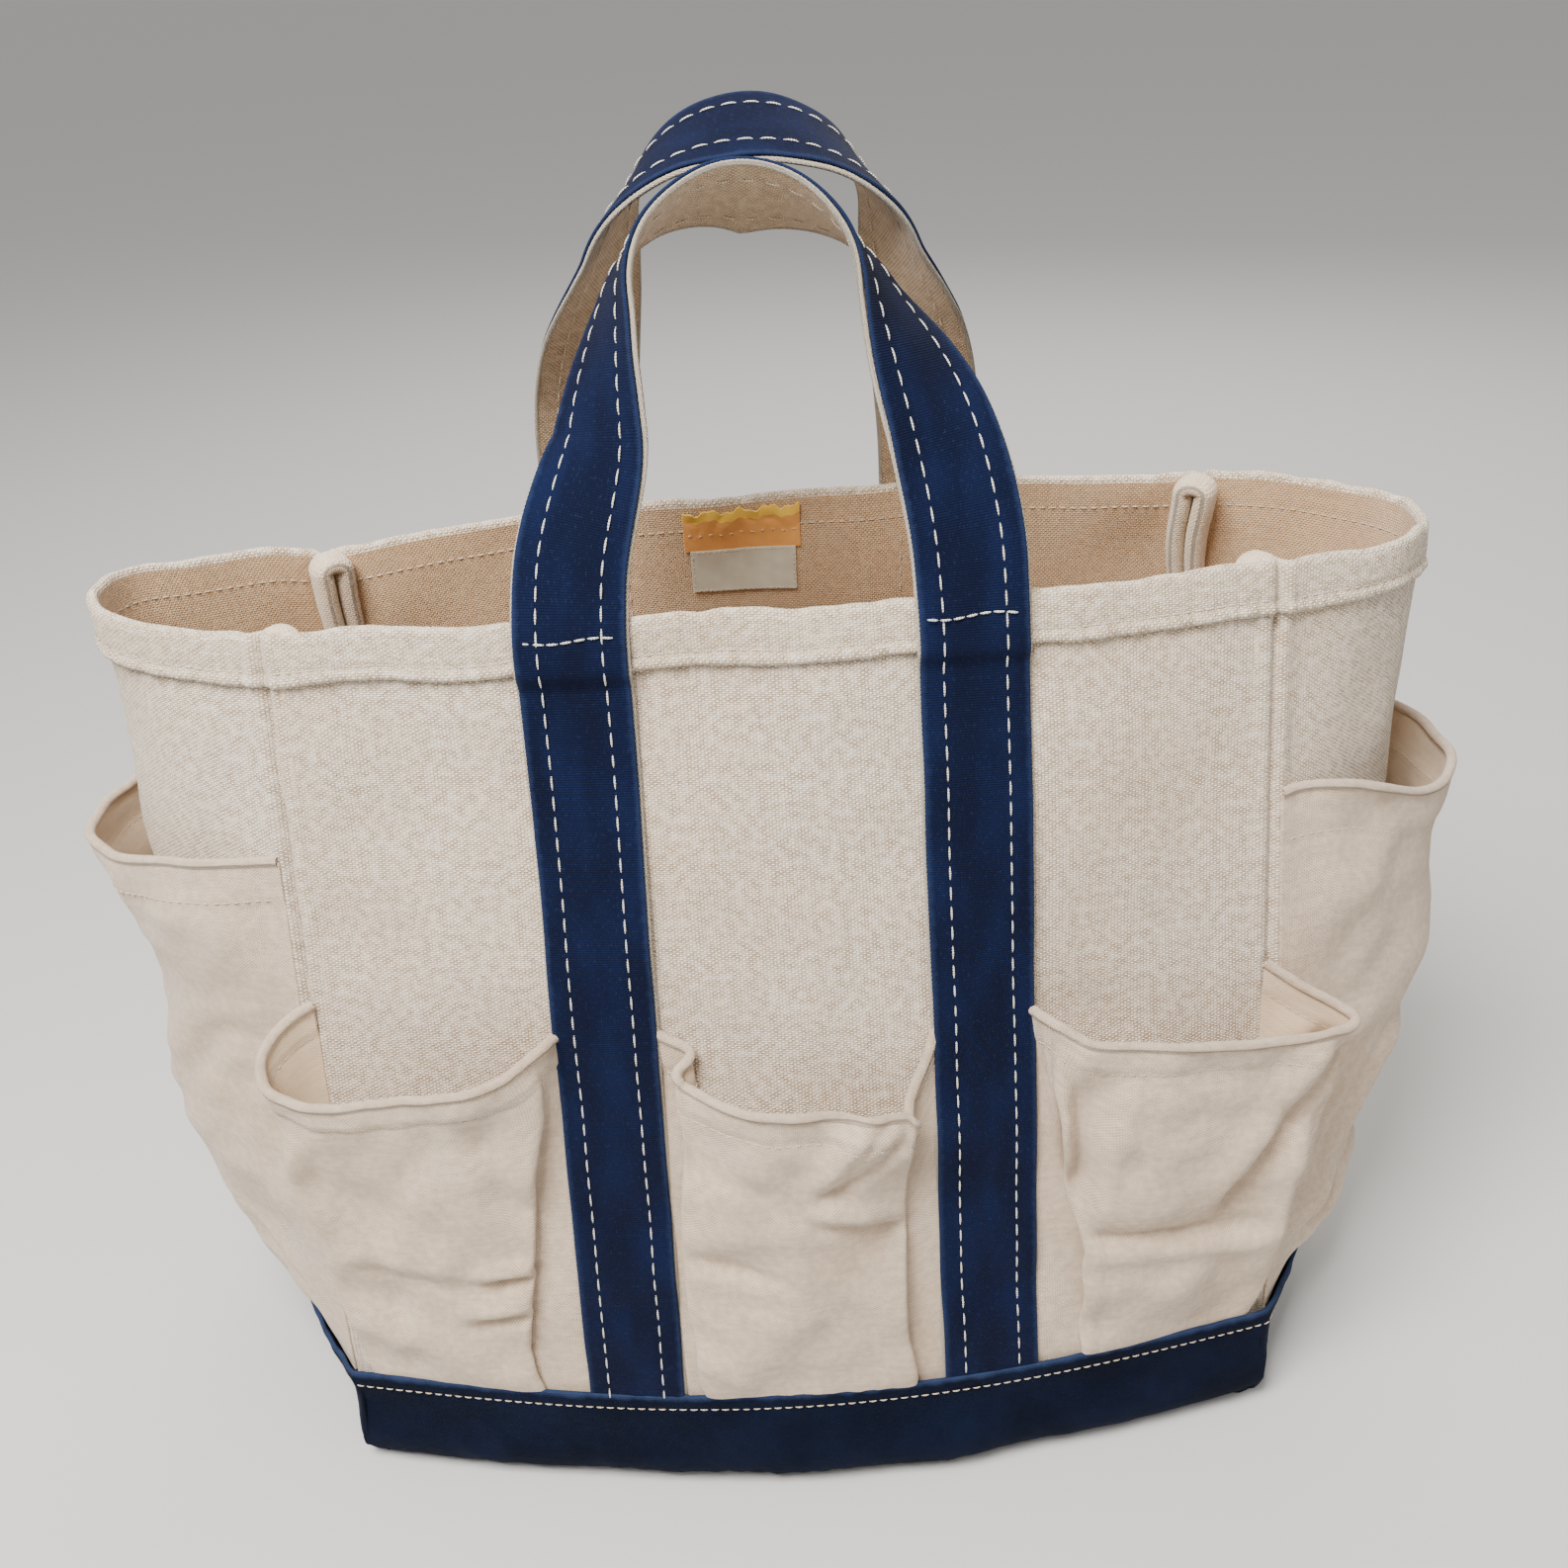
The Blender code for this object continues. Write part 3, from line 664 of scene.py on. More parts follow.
def build_base():
    straight = FLOOR_Z + BOTTOM_RADIUS
    heights = list(np.linspace(BASE_TOP + 0.6, straight, 18))
    heights += [straight - BOTTOM_RADIUS * sin(a) for a in np.radians([12, 24, 36, 48, 60, 70])]
    rings = []
    for z in heights:
        ring, normal = base_ring(z, mix(2.9, 4, smooth((z - 30) / 16)))
        around = np.arctan2(ring[:, 1], ring[:, 0]) * 200
        level = np.full_like(around, z)
        fold = 0.55 * exp(-((z - BASE_TOP + 1.6) / 1.6) ** 2)
        groove = -0.45 * exp(-((z - BASE_TOP + 5.4) / 1.1) ** 2)
        soft = 0.9 * ripple(around, level, 60, 71) * smooth((BASE_TOP - z) / 14)
        small = 0.18 * ripple(around, level, 9, 72)
        ring = ring + normal * (fold + groove + soft + small)[:, None]
        ring[:, 2] = np.maximum(ring[:, 2], 1)
        rings.append(ring)
    last = rings[-1]
    for share, z in ((0.035, UNDERSIDE_Z), (0.09, 0.9)):
        ring = last * (1 - share)
        ring[:, 2] = z
        rings.append(ring)
    points = closed(np.stack(rings, 1))
    cloth = Cloth()
    normals = grid_normals(points)
    normals[0] = normals[-1] = unit(normals[0] + normals[-1])
    slab(cloth, points[:, ::-1], 1.7, normals=normals[:, ::-1], uvs=cloth_lengths(points)[:, ::-1])
    row, lift = base_ring(BASE_TOP - BASE_STITCH_DROP, 4.75)
    stitches(cloth, closed(row), closed(lift), 4, 2.8, 0.6, slot=1)
    # Corded seams at the four corners
    z = np.linspace(BASE_TOP - 1, 8, 30)
    for side in ("front", "back"):
        for end in (-1, 1):
            path = on_body(side, end, z, 3.6)
            path = path - [copysign(0.4, path[0, 0]), copysign(0.6, path[0, 1]), 0]
            tube(cloth, path, 0.9)
    # Flat underside: rings that shrink to the middle
    sheet = np.stack([points[:, -1] * (1 - k / UNDERSIDE_RINGS)
                      for k in range(UNDERSIDE_RINGS)], 1)
    sheet[..., 2] = UNDERSIDE_Z
    slab(cloth, sheet, 1.6, normals=[0, 0, -1], uvs=sheet[..., :2] + UV_SHIFT)
    cloth.settle("navy_base", ("base", "natural"), "base_boat")


def build_floor_panel():
    ring, _ = base_ring(FLOOR_Z + 4, -0.5)
    sheet = np.stack([ring * mix(1, 0.02, k / FLOOR_RINGS) for k in range(FLOOR_RINGS + 1)], 1)
    sheet = closed(sheet)
    wave = 0.7 * ripple(sheet[..., 0], sheet[..., 1], 70, 81)
    sheet[..., 2] = FLOOR_Z + 1.6 + np.abs(wave)
    cloth = Cloth()
    slab(cloth, sheet, 1.4, normals=[0, 0, 1], uvs=sheet[..., :2] + UV_SHIFT)
    cloth.settle("floor_canvas", ("inside",), "floor_panel")


# ---- pockets

def spline(values, samples):
    """Catmull-Rom through evenly spaced control values along axis 0."""
    count = len(values)
    t = np.linspace(0, count - 1, samples)
    k = np.clip(t.astype(int), 0, count - 2)
    f = (t - k)[:, None, None]
    before, after = np.maximum(k - 1, 0), np.minimum(k + 2, count - 1)
    p0, p1, p2, p3 = values[before], values[k], values[k + 1], values[after]
    return 0.5 * (2 * p1 + (p2 - p0) * f + (2 * p0 - 5 * p1 + 4 * p2 - p3) * f ** 2
                  + (3 * p1 - p0 - 3 * p2 + p3) * f ** 3)


# Levels of a pocket's sections, from its foot to its lip
LEVELS = (0, 0.04, 0.16, 0.36, 0.6, 0.82, 0.93, 1)
POCKET_FOOT = 44.5
POCKET_COLUMNS, POCKET_ROWS = 190, 84
POCKET_HEM, END_POCKET_HEM = 11.5, 16
END_POCKET_COLUMNS, END_POCKET_ROWS, END_POCKET_TOP = 170, 90, 262
PLEAT_REACH = 7


def strap_side(index, x, way, shape, swell):
    """Control points of the pleat beside a strap, from the strap inward (way +1 or -1)."""
    level = LEVELS[index]
    fold = shape["folds"][way][index]
    amount = shape["opening"][way][index]
    thin = mix(0.3, 1, smooth(level / 0.12))
    reach = PLEAT_REACH * thin
    shut = [(0, 1.3), (fold * 0.6, 1.4), (fold + reach, 1.5 + 0.8 * thin),
            (fold + reach * 0.95, 1.2 + 2.9 * thin), (fold + 0.6, 1 + 4.3 * thin),
            (fold - 0.6, 1 + 6.6 * thin), (fold + 2.4, 1 + 8.2 * thin)]
    spread = [(0, 1.3), (1.6, swell * 0.22), (3, swell * 0.42), (5, swell * 0.6),
              (8, swell * 0.76), (12, swell * 0.88), (18, swell * 0.97)]
    return [(x + way * mix(a[0], b[0], amount), mix(a[1], b[1], amount))
            for a, b in zip(shut, spread)]


def seam_side(index, x, way, shape):
    """Control points round the outer corner, from the front of the pocket to the seam."""
    level = LEVELS[index]
    out = shape["overhang"] * level ** 0.85
    low = mix(2.4, shape["corner"], level ** 0.8)
    section = [(out - 12, low), (out - 5, low * 0.98), (out - 1, low * 0.9),
               (out + 0.2, low * 0.76), (out * 0.8, low * 0.52),
               (out * 0.42, mix(1.5, low * 0.27, level)), (0.2, 1.3)]
    return [(x + way * across, outward) for across, outward in section]


def crease_field(x, z, lines):
    """Folds of the cloth along chosen lines: a valley with a soft ridge on one side."""
    total = np.zeros_like(x)
    for x0, z0, x1, z1, depth, width in lines:
        length = hypot(x1 - x0, z1 - z0)
        along = ((x - x0) * (x1 - x0) + (z - z0) * (z1 - z0)) / length
        side = ((x - x0) * (z1 - z0) - (z - z0) * (x1 - x0)) / length
        within = smooth((along + 6) / 12) * smooth((length + 6 - along) / 14)
        valley = np.exp(-(side / width) ** 2)
        ridge = np.exp(-((side - 2 * width) / (1.4 * width)) ** 2)
        total = total + depth * (0.75 * ridge - valley) * within
    return total


def beside_strap(edge, level):
    """Edge of a pocket at a level; one beside a strap leans with it."""
    if abs(edge) > STRAP_X[0] + STRAP_WIDTH:
        return edge
    lean = STRAP_X[0] - strap_x(mix(POCKET_FOOT, 190, level))
    return edge - copysign(lean, edge)


def between(t, margin):
    """0 at both ends of 0 to 1, rising to 1 within a margin."""
    return smooth(t / margin) * smooth((1 - t) / margin)


def sewn_in(below_top, hem):
    """Depth of the line where a pocket's hem is sewn."""
    return 0.5 * np.exp(-((below_top - hem) / 1.1) ** 2)


def front_pocket(side, name, shape, seed):
    """A bellows pocket from its sections at several levels, bottom to top."""
    net = []
    for index, level in enumerate(LEVELS):
        left, right = (beside_strap(edge, level) for edge in shape["edges"])
        swell = mix(2.4, shape["swell"], level ** 0.8)
        if shape["outer"] == "left":
            a = seam_side(index, left, -1, shape)[::-1]
        else:
            a = strap_side(index, left, 1, shape, swell)
        if shape["outer"] == "right":
            b = seam_side(index, right, 1, shape)
        else:
            b = strap_side(index, right, -1, shape, swell)[::-1]
        middle = [(mix(a[-1][0], b[0][0], t), max(mix(a[-1][1], b[0][1], t), swell)
                   + shape["belly"] * level * sin(pi * t)) for t in (0.2, 0.4, 0.6, 0.8)]
        row = a + middle + b
        tops = np.interp(np.linspace(0, 1, len(row)), np.linspace(0, 1, len(shape["tops"])),
                         shape["tops"])
        net.append([(x, o, mix(POCKET_FOOT, top, level)) for (x, o), top in zip(row, tops)])
    across = spline(np.array(net).transpose(1, 0, 2), POCKET_COLUMNS)
    level = np.linspace(0, 1, POCKET_ROWS)
    spaced = np.interp(level, LEVELS, np.arange(len(LEVELS)))
    k = np.clip(spaced.astype(int), 0, len(LEVELS) - 2)
    f = (spaced - k)[:, None]
    x, offset, z = np.moveaxis(mix(across[:, k], across[:, k + 1], f), -1, 0)
    column = np.linspace(0, 1, POCKET_COLUMNS)[:, None]
    window = between(column, 0.34) * smooth(level / 0.1)
    wrinkle = 2.3 * ripple(x, z, 46, seed) + 0.85 * ripple(x, z, 19, seed + 1)
    edge = smooth(level / 0.1) * smooth(offset / 4)
    offset = offset + wrinkle * window + 1.35 * crease_field(x, z, shape["creases"]) * edge
    below_top = (1 - level) * (z.max() - POCKET_FOOT)
    offset = offset - sewn_in(below_top, POCKET_HEM) * smooth(offset / 4)
    offset = offset + 0.95 * smooth((POCKET_HEM + 0.5 - below_top) / 1.5)
    x = x + 0.9 * ripple(z, column * 40, 30, seed + 2) * window
    points = on_body(side, along_front(x, z), z, offset)
    pocket_piece(f"pocket_{side}_{name}", f"{side}_{name}_pocket", points, POCKET_HEM)


def pocket_piece(name, node, points, hem):
    """The sheet of a pocket with a rolled lip and its hem stitched inside and out."""
    cloth = Cloth()
    slab(cloth, points, 1.15, 0, 1)
    normals = grid_normals(points)
    lip = points[:, -1] - normals[:, -1] * 0.25
    lift = unit(points[:, -1] - points[:, -3])
    tube(cloth, lip + lift * 0.1, 1.9, 12, lean=lift)
    length = np.linalg.norm(points[:, 1:] - points[:, :-1], axis=2).sum(1).mean()
    row = int(round((1 - hem / length) * (points.shape[1] - 1)))
    line, out = points[2:-2, row], normals[2:-2, row]
    stitches(cloth, line + out * 0.62, out, 3.6, 2.5, 0.6, slot=2)
    stitches(cloth, line - out * 0.62, -out, 3.6, 2.3, 0.5, slot=2)
    cloth.settle(name, ("pocket", "pocket_inside", "natural"), node)


INNER = STRAP_X[0] - STRAP_WIDTH / 2 + 1.5
OUTER = STRAP_X[0] + STRAP_WIDTH / 2 - 1.5
SEAM = CORNER_X[1] + 2
# Pockets of a long side. "folds" and "opening" give, for each level, the pleat beside a
# strap; "tops" is the line of the lip; "creases" are (x, z, x, z, depth, width)
POCKETS = {
    "left": {"edges": (-SEAM, -OUTER), "outer": "left", "overhang": 15, "corner": 22,
             "swell": 20, "belly": 1,
             "folds": {-1: (19.5, 20.5, 24, 18, 15, 7, 4, 2.5)},
             "opening": {-1: (0, 0, 0, 0, 0.1, 0.6, 0.85, 1)},
             "tops": (207, 203, 194, 185, 180, 179, 181, 185, 189, 194, 197, 198, 198),
             "creases": ((-98, 103, -120, 98, 3, 2.6), (-102, 86, -126, 79, 2.8, 2.8),
                         (-126, 97, -168, 105, 1.4, 4), (-114, 172, -103, 128, 1.8, 4),
                         (-172, 160, -150, 75, 1.6, 6), (-140, 150, -134, 118, 0.8, 3))},
    "centre": {"edges": (-INNER, INNER), "outer": "", "overhang": 0, "corner": 0,
               "swell": 19, "belly": 3,
               "folds": {1: (11, 11, 9.5, 7.5, 7.5, 8.5, 9, 9),
                         -1: (14, 14, 15.5, 17.5, 16.5, 15, 13.5, 12)},
               "opening": {1: (0, 0, 0, 0, 0.05, 0.15, 0.22, 0.3),
                           -1: (0, 0, 0, 0, 0.05, 0.2, 0.35, 0.5)},
               "tops": (199, 196, 192, 189, 186, 183, 180, 178, 176, 174, 171, 168, 165, 163, 162,
                        169, 183, 196),
               "creases": ((34, 160, 6, 138, 3, 4), (34, 118, 2, 128, 2.2, 3.2),
                           (-38, 112, -8, 104, 1.7, 3), (28, 168, 12, 150, 2, 3),
                           (-34, 150, -10, 142, 1.2, 4))},
    "right": {"edges": (OUTER, SEAM), "outer": "right", "overhang": 25, "corner": 24,
              "swell": 21, "belly": 1,
              "folds": {1: (20.5, 20.5, 20, 19.5, 13, 6, 3.5, 2.5)},
              "opening": {1: (0, 0, 0, 0, 0.15, 0.62, 0.88, 1)},
              "tops": (196, 196, 196, 194, 190, 186, 184, 182, 181, 181, 182, 184, 190, 200),
              "creases": ((105, 104, 172, 97, 2.5, 3.4), (190, 174, 154, 104, 3.4, 4.8),
                          (112, 168, 104, 108, -2.8, 5), (96, 168, 102, 112, 2.2, 3.2),
                          (186, 150, 182, 88, 1.8, 3.4))},
}


def build_front_pockets():
    for index, side in enumerate(("front", "back")):
        for number, (name, shape) in enumerate(POCKETS.items()):
            front_pocket(side, name, shape, 100 + 20 * index + 3 * number)


END_POCKET_CREASES = ((-78, 66, -20, 84, 3, 4), (78, 60, 30, 92, 3, 4), (-70, 96, -40, 150, 2, 5),
                      (66, 190, 20, 130, 2, 6))


def build_end_pockets():
    p = np.linspace(0, 1, END_POCKET_COLUMNS)[:, None]
    q = np.linspace(0, 1, END_POCKET_ROWS)
    middle, start = between(p, 0.4), between(p, 0.13)
    for side, seed in (("left", 161), ("right", 171)):
        top = END_POCKET_TOP - END_POCKET_SAG[side] * middle
        top = top + 1.5 * ripple(p * 200, 0, 60, seed)
        z = mix(POCKET_FOOT, top, q)
        edge = 1 - 3.4 / HALF_WIDTH[side]
        u = mix(-edge, edge, p) + 0 * q
        swell = middle * (1 + END_POCKET_BULGE[side] * 0.8 * q ** 0.8) + start * 4 * q ** 1.2
        offset = 1.3 + swell + 1.4 * middle * smooth(q / 0.05)
        x = u * HALF_WIDTH[side]
        wrinkle = 2.3 * ripple(x, z, 60, seed + 1) + 0.8 * ripple(x, z, 22, seed + 2)
        wrinkle = wrinkle + crease_field(x, z, END_POCKET_CREASES)
        offset = offset + wrinkle * between(p, 0.15) * smooth(q / 0.1)
        below_top = (1 - q) * 210
        offset = offset - sewn_in(below_top, END_POCKET_HEM)
        offset = offset + 0.4 * smooth((END_POCKET_HEM + 0.5 - below_top) / 1.5)
        points = on_body(side, u, z, offset)
        pocket_piece(f"pocket_{side}_end", f"{side}_end_pocket", points, END_POCKET_HEM)


# ---- straps

LEG_FACE = 61.0331
STRAP_FOOT = 44
LEG_ROWS, LOOP_ROWS, ROWS_BELOW_LOOP = 190, 260, 15
LOOP_STEP = 0.006
LAYER = 0.95
STRAP_THICKNESS = 1.2
BACKING_OFFSET = 1.7
HEM_LIFT = 2.75
CROSS_STITCH_OFFSET = 7.45
STITCH_ROWS = (-10.4, 10.4)
ACROSS = np.linspace(-0.5, 0.5, 13)


def arch(shape, s):
    """Line of a loop's inner edge in its own plane, s from the left foot to the right."""
    crown, leg = shape["crown"], shape["height"] - shape["crown"]
    half_path = leg + crown * pi / 2
    travelled = (1 - np.abs(1 - 2 * s)) * half_path
    angle = np.clip(travelled - leg, 0, None) / crown
    climb = np.minimum(travelled, leg) + crown * np.sin(angle)
    haste = np.where(s < 0.5, shape["haste"], 1)
    low = mix(shape["foot"], crown, smooth(haste * travelled / leg))
    half = np.where(travelled < leg, low, crown * np.cos(angle))
    sway = shape["shift"] * smooth(climb / shape["height"])
    side = np.where(s < 0.5, -1, 1)
    return np.stack([side * half + sway, np.zeros_like(s), climb + 0.6], -1)


def loop_frame(side, s):
    """Inner edge, inner way, face and turned frame of a handle loop."""
    shape = LOOPS[side]
    tangent = unit(arch(shape, np.minimum(s + LOOP_STEP, 1))
                   - arch(shape, np.maximum(s - LOOP_STEP, 0)))
    outward = np.stack([-tangent[:, 2], 0 * s, tangent[:, 0]], -1)
    facing = np.array([0, -1, 0])
    near = 1 - np.abs(1 - 2 * s)
    turned = smooth(near ** shape["delay"])
    turned = np.where(s < 0.5, mix(turned, near, shape["early"]), turned)
    twist = radians(shape["twist"]) * turned
    cosine, sine = np.cos(twist)[:, None], np.sin(twist)[:, None]
    inner_way = -outward * cosine + facing * sine
    face = facing * cosine + outward * sine
    edge = arch(shape, s)
    edge[:, 1] += 1 + LAYER
    lean = radians(-shape["lean"])
    turn = np.array([[1, 0, 0], [0, cos(lean), -sin(lean)], [0, sin(lean), cos(lean)]])
    edge, inner_way, face = (v @ turn.T for v in (edge, inner_way, face))
    edge = edge + [0, -LEG_FACE, HINGE_Z]
    if side == "back":
        for v in (edge, inner_way, face):
            v[:, 1] *= -1
    return edge, inner_way, face


def leg_rows(side, way):
    """Centre line, width direction and face of a leg: up on the left, down on the right."""
    z = np.linspace(STRAP_FOOT, HEIGHT + 0.8, LEG_ROWS)[::-way]
    sign = 1 if side == "front" else -1
    centre = way * strap_x(z)
    u = along_front(centre * sign, z)
    offset = BACKING_OFFSET + HEM_LIFT * smooth((z - (HEIGHT - 22.5)) / 6)
    point = on_body(side, u, z, offset)
    ahead = on_body(side, along_front((centre + 1) * sign, z), z, offset)
    return point, unit(ahead - point) * -way, skin_normal(side, u, z)


def relax(rows, around, reach, times):
    """Ease rows of points near the given indices, to take out the kink at a joint."""
    index = np.arange(len(rows))
    weight = np.zeros(len(rows))
    for centre in around:
        weight = np.maximum(weight, np.clip(1 - np.abs(index - centre) / reach, 0, 1))
    weight[0] = weight[-1] = 0
    for _ in range(times):
        average = 0.5 * (np.roll(rows, 1, 0) + np.roll(rows, -1, 0))
        rows = rows + (average - rows) * weight[:, None] * 0.5
    return rows


def strap_surface(side, lift):
    """Rows of points of one layer of a strap from base to base, with their faces."""
    s = np.linspace(0, 1, LOOP_ROWS)[2:-2]
    edge, inner_way, face = loop_frame(side, s)
    loop_centre = edge - inner_way * (STRAP_WIDTH / 2)
    left, right = leg_rows(side, -1), leg_rows(side, 1)
    centre = np.concatenate([left[0] + left[2] * (lift + LAYER), loop_centre + face * lift,
                             right[0] + right[2] * (lift + LAYER)])
    inner = np.concatenate([left[1], inner_way, right[1]])
    faces = np.concatenate([left[2], face, right[2]])
    joints = (len(left[0]), len(left[0]) + len(s))
    centre = relax(centre, joints, 10, 40)
    inner, faces = unit(relax(inner, joints, 10, 40)), unit(relax(faces, joints, 10, 40))
    return centre, inner, faces


def strap_points(centre, inner, face, width, side):
    """Grid of one layer of a strap, a little uneven and raised along its middle."""
    across = ACROSS * width
    seed = 5 if side == "front" else 6
    rough = 0.25 * ripple(travel(centre)[:, None], across * 0.6, 24, seed)
    bulge = 0.2 * (1 - (2 * ACROSS) ** 2)
    return (centre[:, None] + inner[:, None] * across[:, None]
            + face[:, None] * (bulge + rough)[..., None])


def build_strap(side):
    """Navy tape, natural backing and thread, each one piece from leg over the loop to leg."""
    sign = 1 if side == "front" else -1
    tape_rows, back_rows = strap_surface(side, LAYER), strap_surface(side, -LAYER)
    uvs = np.stack(np.meshgrid(travel(tape_rows[0]), (ACROSS + 0.5) * STRAP_WIDTH,
                               indexing="ij")[::-1], -1)
    made = []
    for name, rows, width, looks, slot in (
            ("tape", tape_rows, STRAP_WIDTH, ("tape",), "navy strap tape"),
            ("backing", back_rows, STRAP_WIDTH + 0.8, ("webbing", "cord"), "natural webbing")):
        points = strap_points(*rows, width, side)
        cloth = Cloth()
        slab(cloth, points[:, ::sign], STRAP_THICKNESS, normals=rows[2][:, None],
             uvs=uvs[:, ::sign])
        if name == "backing":
            for column, way in ((0, -1), (-1, 1)):
                path = points[:, column] + rows[1] * way * 0.1 + rows[2] * 0.15
                tube(cloth, path, 0.95, slot=1, lean=rows[2])
        nodes = [f"{side}_{end}_{name}" for end in ("left_leg", "right_leg", "handle")]
        made.append((cloth.piece(f"strap_{side}_{name}", looks), slot, nodes))
    sewing = Cloth()
    centre, inner, faces = tape_rows
    for place in STITCH_ROWS:
        path = centre + inner * place + faces * LAYER
        stitches(sewing, path, faces, 7.2, 5, 0.68, sink=0.3)
    # The backing shows its thread on the loop and just below it
    loop = slice(LEG_ROWS - ROWS_BELOW_LOOP, ROWS_BELOW_LOOP - LEG_ROWS)
    turned = -back_rows[2]
    for place in STITCH_ROWS:
        path = back_rows[0] + back_rows[1] * place + turned * 0.62
        stitches(sewing, path[loop], turned[loop], 7.6, 5, 0.7, slot=1, sink=0.35)
    for leg in (-STRAP_X[1], STRAP_X[1]):
        for place in STITCH_ROWS:
            z = np.linspace(60, HEIGHT - 18, 160)
            u = along_front((leg + place) * sign, z)
            row = on_body(side, u, z, -WALL / 2 - 0.1, seam=True)
            stitches(sewing, row, -skin_normal(side, u, z), 7.2, 4.6, 0.6, slot=1, sink=0.3)
        across = np.linspace(-STRAP_WIDTH / 2 + 0.5, STRAP_WIDTH / 2 - 0.5, 40) + leg
        z = HEIGHT - 5.5 + 0.8 * np.sin(across * 0.2)
        u = along_front(across * sign, z)
        row = on_body(side, u, z, CROSS_STITCH_OFFSET)
        stitches(sewing, row, skin_normal(side, u, z), 4.4, 3.6, 0.8, sink=0.3)
    made.append((sewing.piece(f"strap_{side}_stitching", ("white", "natural")),
                 "natural webbing", []))
    for piece, slot, nodes in made:
        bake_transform(piece)
        if nodes:
            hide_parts(*nodes)


# ---- label

TAB_X, LABEL_X = (-30.5, 14.5), (-28.5, 12.5)
LABEL_FOOT, TAB_FOOT, TAB_TOP = 300.5, 319.5, 337


def build_label():
    """Orange tab with a pinked yellow edge, and a blank woven label on it, inside the back."""
    x = np.linspace(*TAB_X, 90)
    z = np.linspace(0, 1, 24)
    top = TAB_TOP + 0.9 * np.sin(x * 0.55) + 0.5 * np.sin(x * 1.35 + 1)
    height = mix(TAB_FOOT, top[:, None], z)
    u = along_front(-x[:, None], height)
    curl = 0.7 * ripple(x[:, None], height, 14, 91) * smooth((z - 0.2) / 0.8)
    points = on_body("back", u, height, -(WALL / 2 + 0.6 + np.abs(curl)))
    cloth = Cloth()
    slab(cloth, points[:, :19], 0.5)
    slab(cloth, points[:, 18:], 0.6, 1, 1)
    inward = -skin_normal("back", u[:, 10], height[:, 10])
    stitches(cloth, points[:, 10] + inward * 0.3, inward, 4.2, 1.6, 0.5, slot=2)
    cloth.settle("inside_tab", ("tab", "tab_edge", "natural"), "inner_tab")
    height = np.linspace(LABEL_FOOT, TAB_FOOT, 30)
    u = along_front(-np.linspace(*LABEL_X, 60)[:, None], height)
    points = on_body("back", u, height, -(WALL / 2 + 0.75))
    cloth = Cloth()
    slab(cloth, points, 0.5)
    for pick in (points[2:-2, 1], points[2:-2, -2], points[1, 2:-2], points[-2, 2:-2]):
        inward = np.tile([0, -0.98, -0.15], (len(pick), 1))
        stitches(cloth, pick + inward * 0.3, inward, 2.2, 1.5, 0.35, slot=1)
    cloth.settle("inside_label", ("label", "natural"), "inner_label")


# ---- stage, light, camera

# Name, place, height aimed at, size, power and colour
LIGHTS = (
    ("key", (-0.38, -0.6, 1.35), 0.2, 0.6, 45, (1, 0.985, 0.965)),
    ("fill", (1.4, -1.1, 1), 0.2, 1.2, 5, (1, 0.93, 0.86)),
    ("back", (0.4, 1.3, 1.3), 0.3, 1.2, 16, (1, 0.95, 0.88)),
)


def build_lights():
    for name, place, target, size, power, colour in LIGHTS:
        data = bpy.data.lights.new(name, "AREA")
        data.size = size
        data.energy = power
        data.color = colour
        lamp = bpy.data.objects.new(name, data)
        lamp.location = place
        aim = Vector((0, 0, target)) - Vector(place)
        lamp.rotation_euler = aim.to_track_quat("-Z", "Y").to_euler()
        link(lamp)


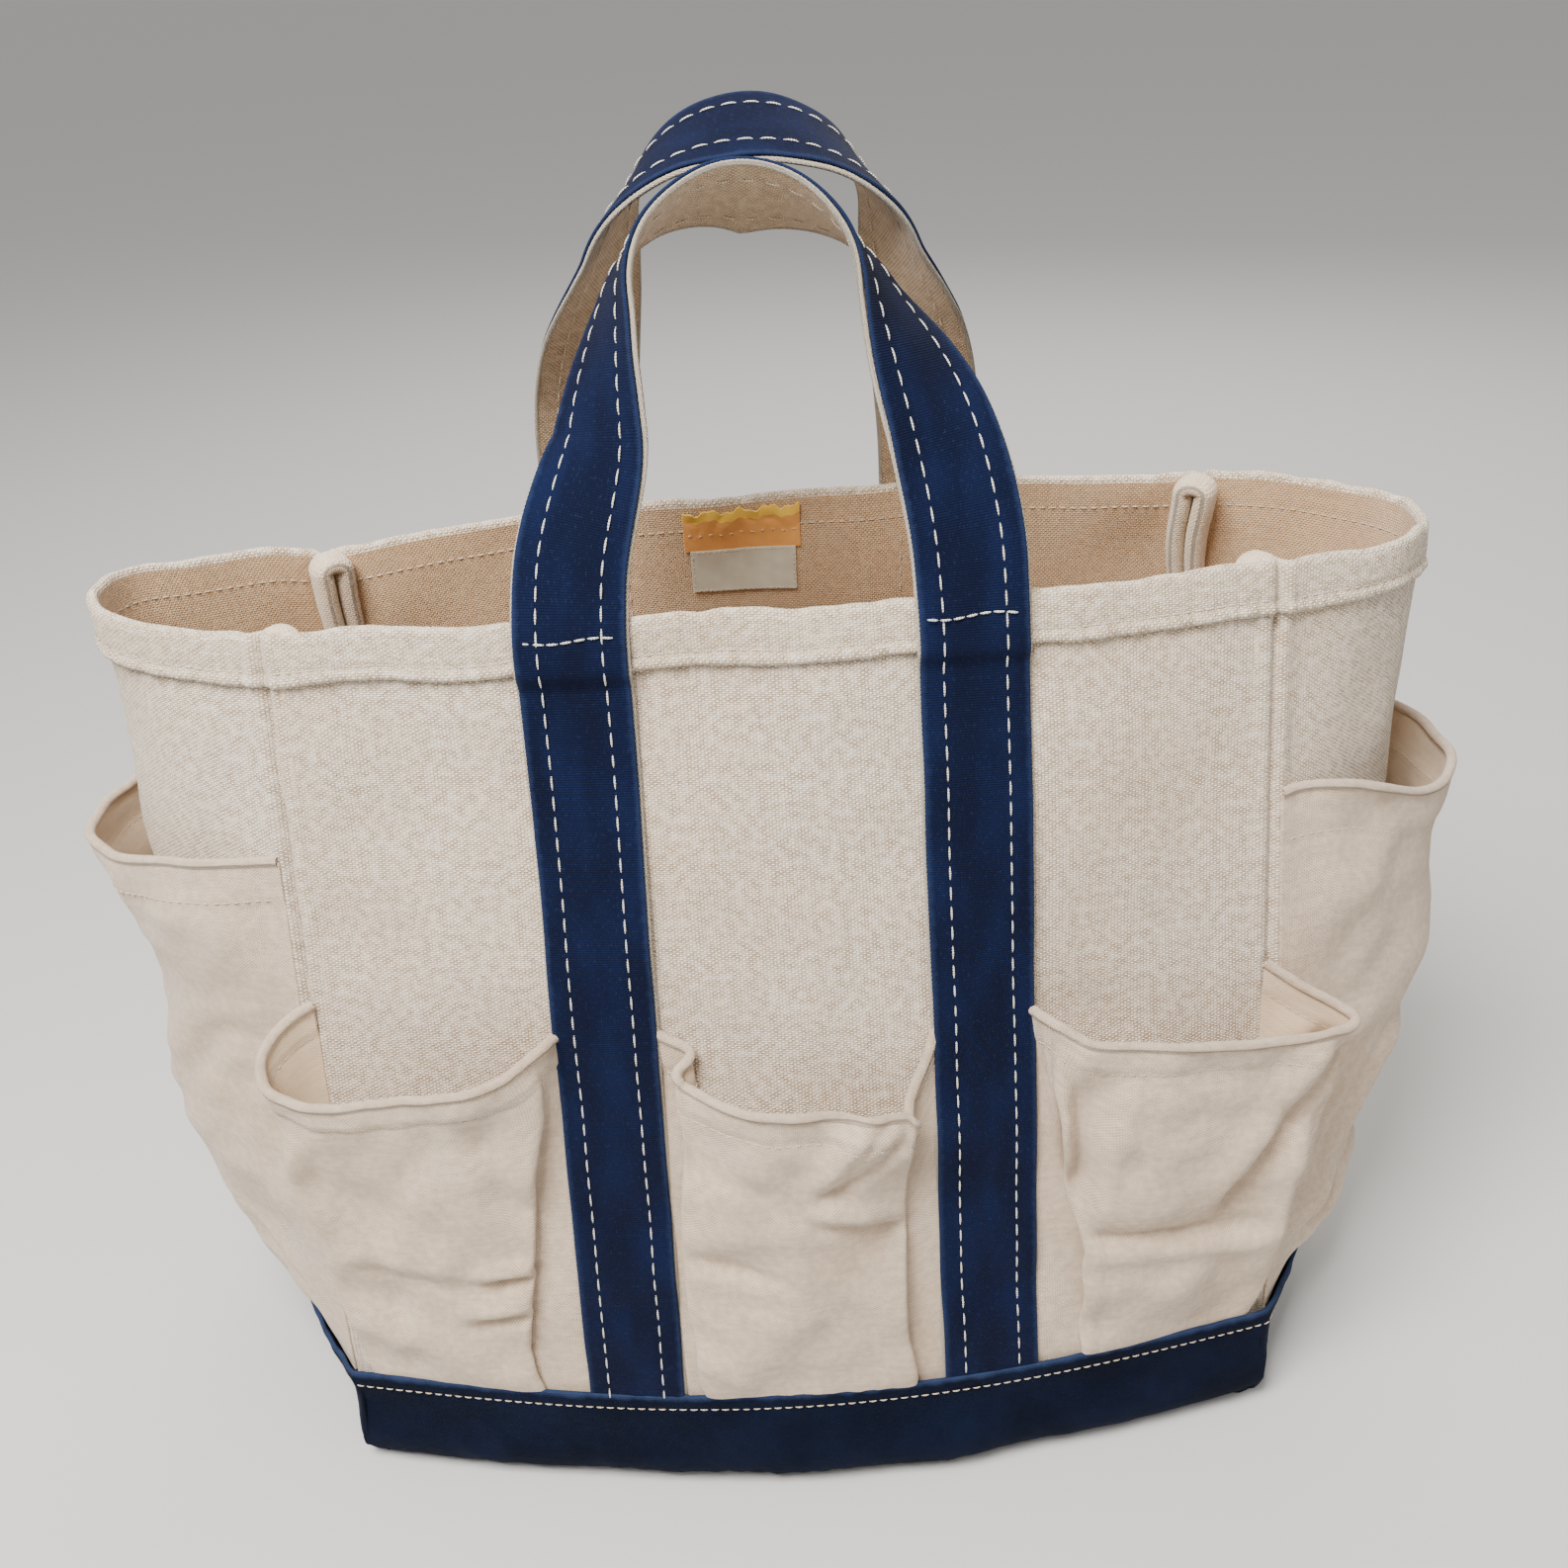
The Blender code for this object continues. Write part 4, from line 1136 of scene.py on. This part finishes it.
def build_stage():
    """A plain floor, and a sky that is brighter above the horizon."""
    bpy.ops.mesh.primitive_plane_add(size=60, location=(0, 0, 0))
    floor = bpy.context.object
    floor.name = "studio_floor"
    shader = Shader("studio_floor")
    shader.principled.inputs["Base Color"].default_value = (0.58, 0.58, 0.57, 1)
    shader.principled.inputs["Roughness"].default_value = 0.9
    floor.data.materials.append(shader.material)
    world = bpy.context.scene.world = bpy.data.worlds.new("studio")
    world.use_nodes = True
    tree = world.node_tree
    sky = tree.nodes["Background"]
    sky.inputs["Color"].default_value = (1, 0.98, 0.955, 1)
    toward = tree.nodes.new("ShaderNodeTexCoord")
    split = tree.nodes.new("ShaderNodeSeparateXYZ")
    tree.links.new(toward.outputs["Generated"], split.inputs[0])
    rising = tree.nodes.new("ShaderNodeMapRange")
    for key, value in (("From Max", 0.35), ("To Min", 0.34), ("To Max", 0.6)):
        rising.inputs[key].default_value = value
    tree.links.new(split.outputs["Z"], rising.inputs["Value"])
    tree.links.new(rising.outputs[0], sky.inputs["Strength"])


CAMERA_PLACE = (-0.008, -0.529, 0.545)
CAMERA_TURN = (-1.1, 29.6, -2.97)
CAMERA_LENS, SENSOR = 36.545, 36


def build_camera():
    """Camera from its place and its yaw, downward pitch and roll in degrees."""
    yaw, pitch, roll = np.radians(CAMERA_TURN)
    forward = Vector((-sin(yaw) * cos(pitch), cos(yaw) * cos(pitch), -sin(pitch)))
    right = forward.cross(Vector((0, 0, 1))).normalized()
    up = right.cross(forward)
    turned_right = right * cos(roll) + up * sin(roll)
    turned_up = up * cos(roll) - right * sin(roll)
    camera = link(bpy.data.objects.new("camera", bpy.data.cameras.new("camera")))
    matrix = Matrix((turned_right, turned_up, -forward)).transposed().to_4x4()
    matrix.translation = Vector(CAMERA_PLACE)
    camera.matrix_world = matrix
    camera.data.sensor_width = SENSOR
    camera.data.lens = CAMERA_LENS
    camera.data.clip_start = 0.01
    bpy.context.scene.camera = camera


build_stage()
build_lights()
build_camera()
build_walls()
build_hems()
build_tucks()
build_base()
build_floor_panel()
build_front_pockets()
build_end_pockets()
for handle_side in ("front", "back"):
    build_strap(handle_side)
build_label()
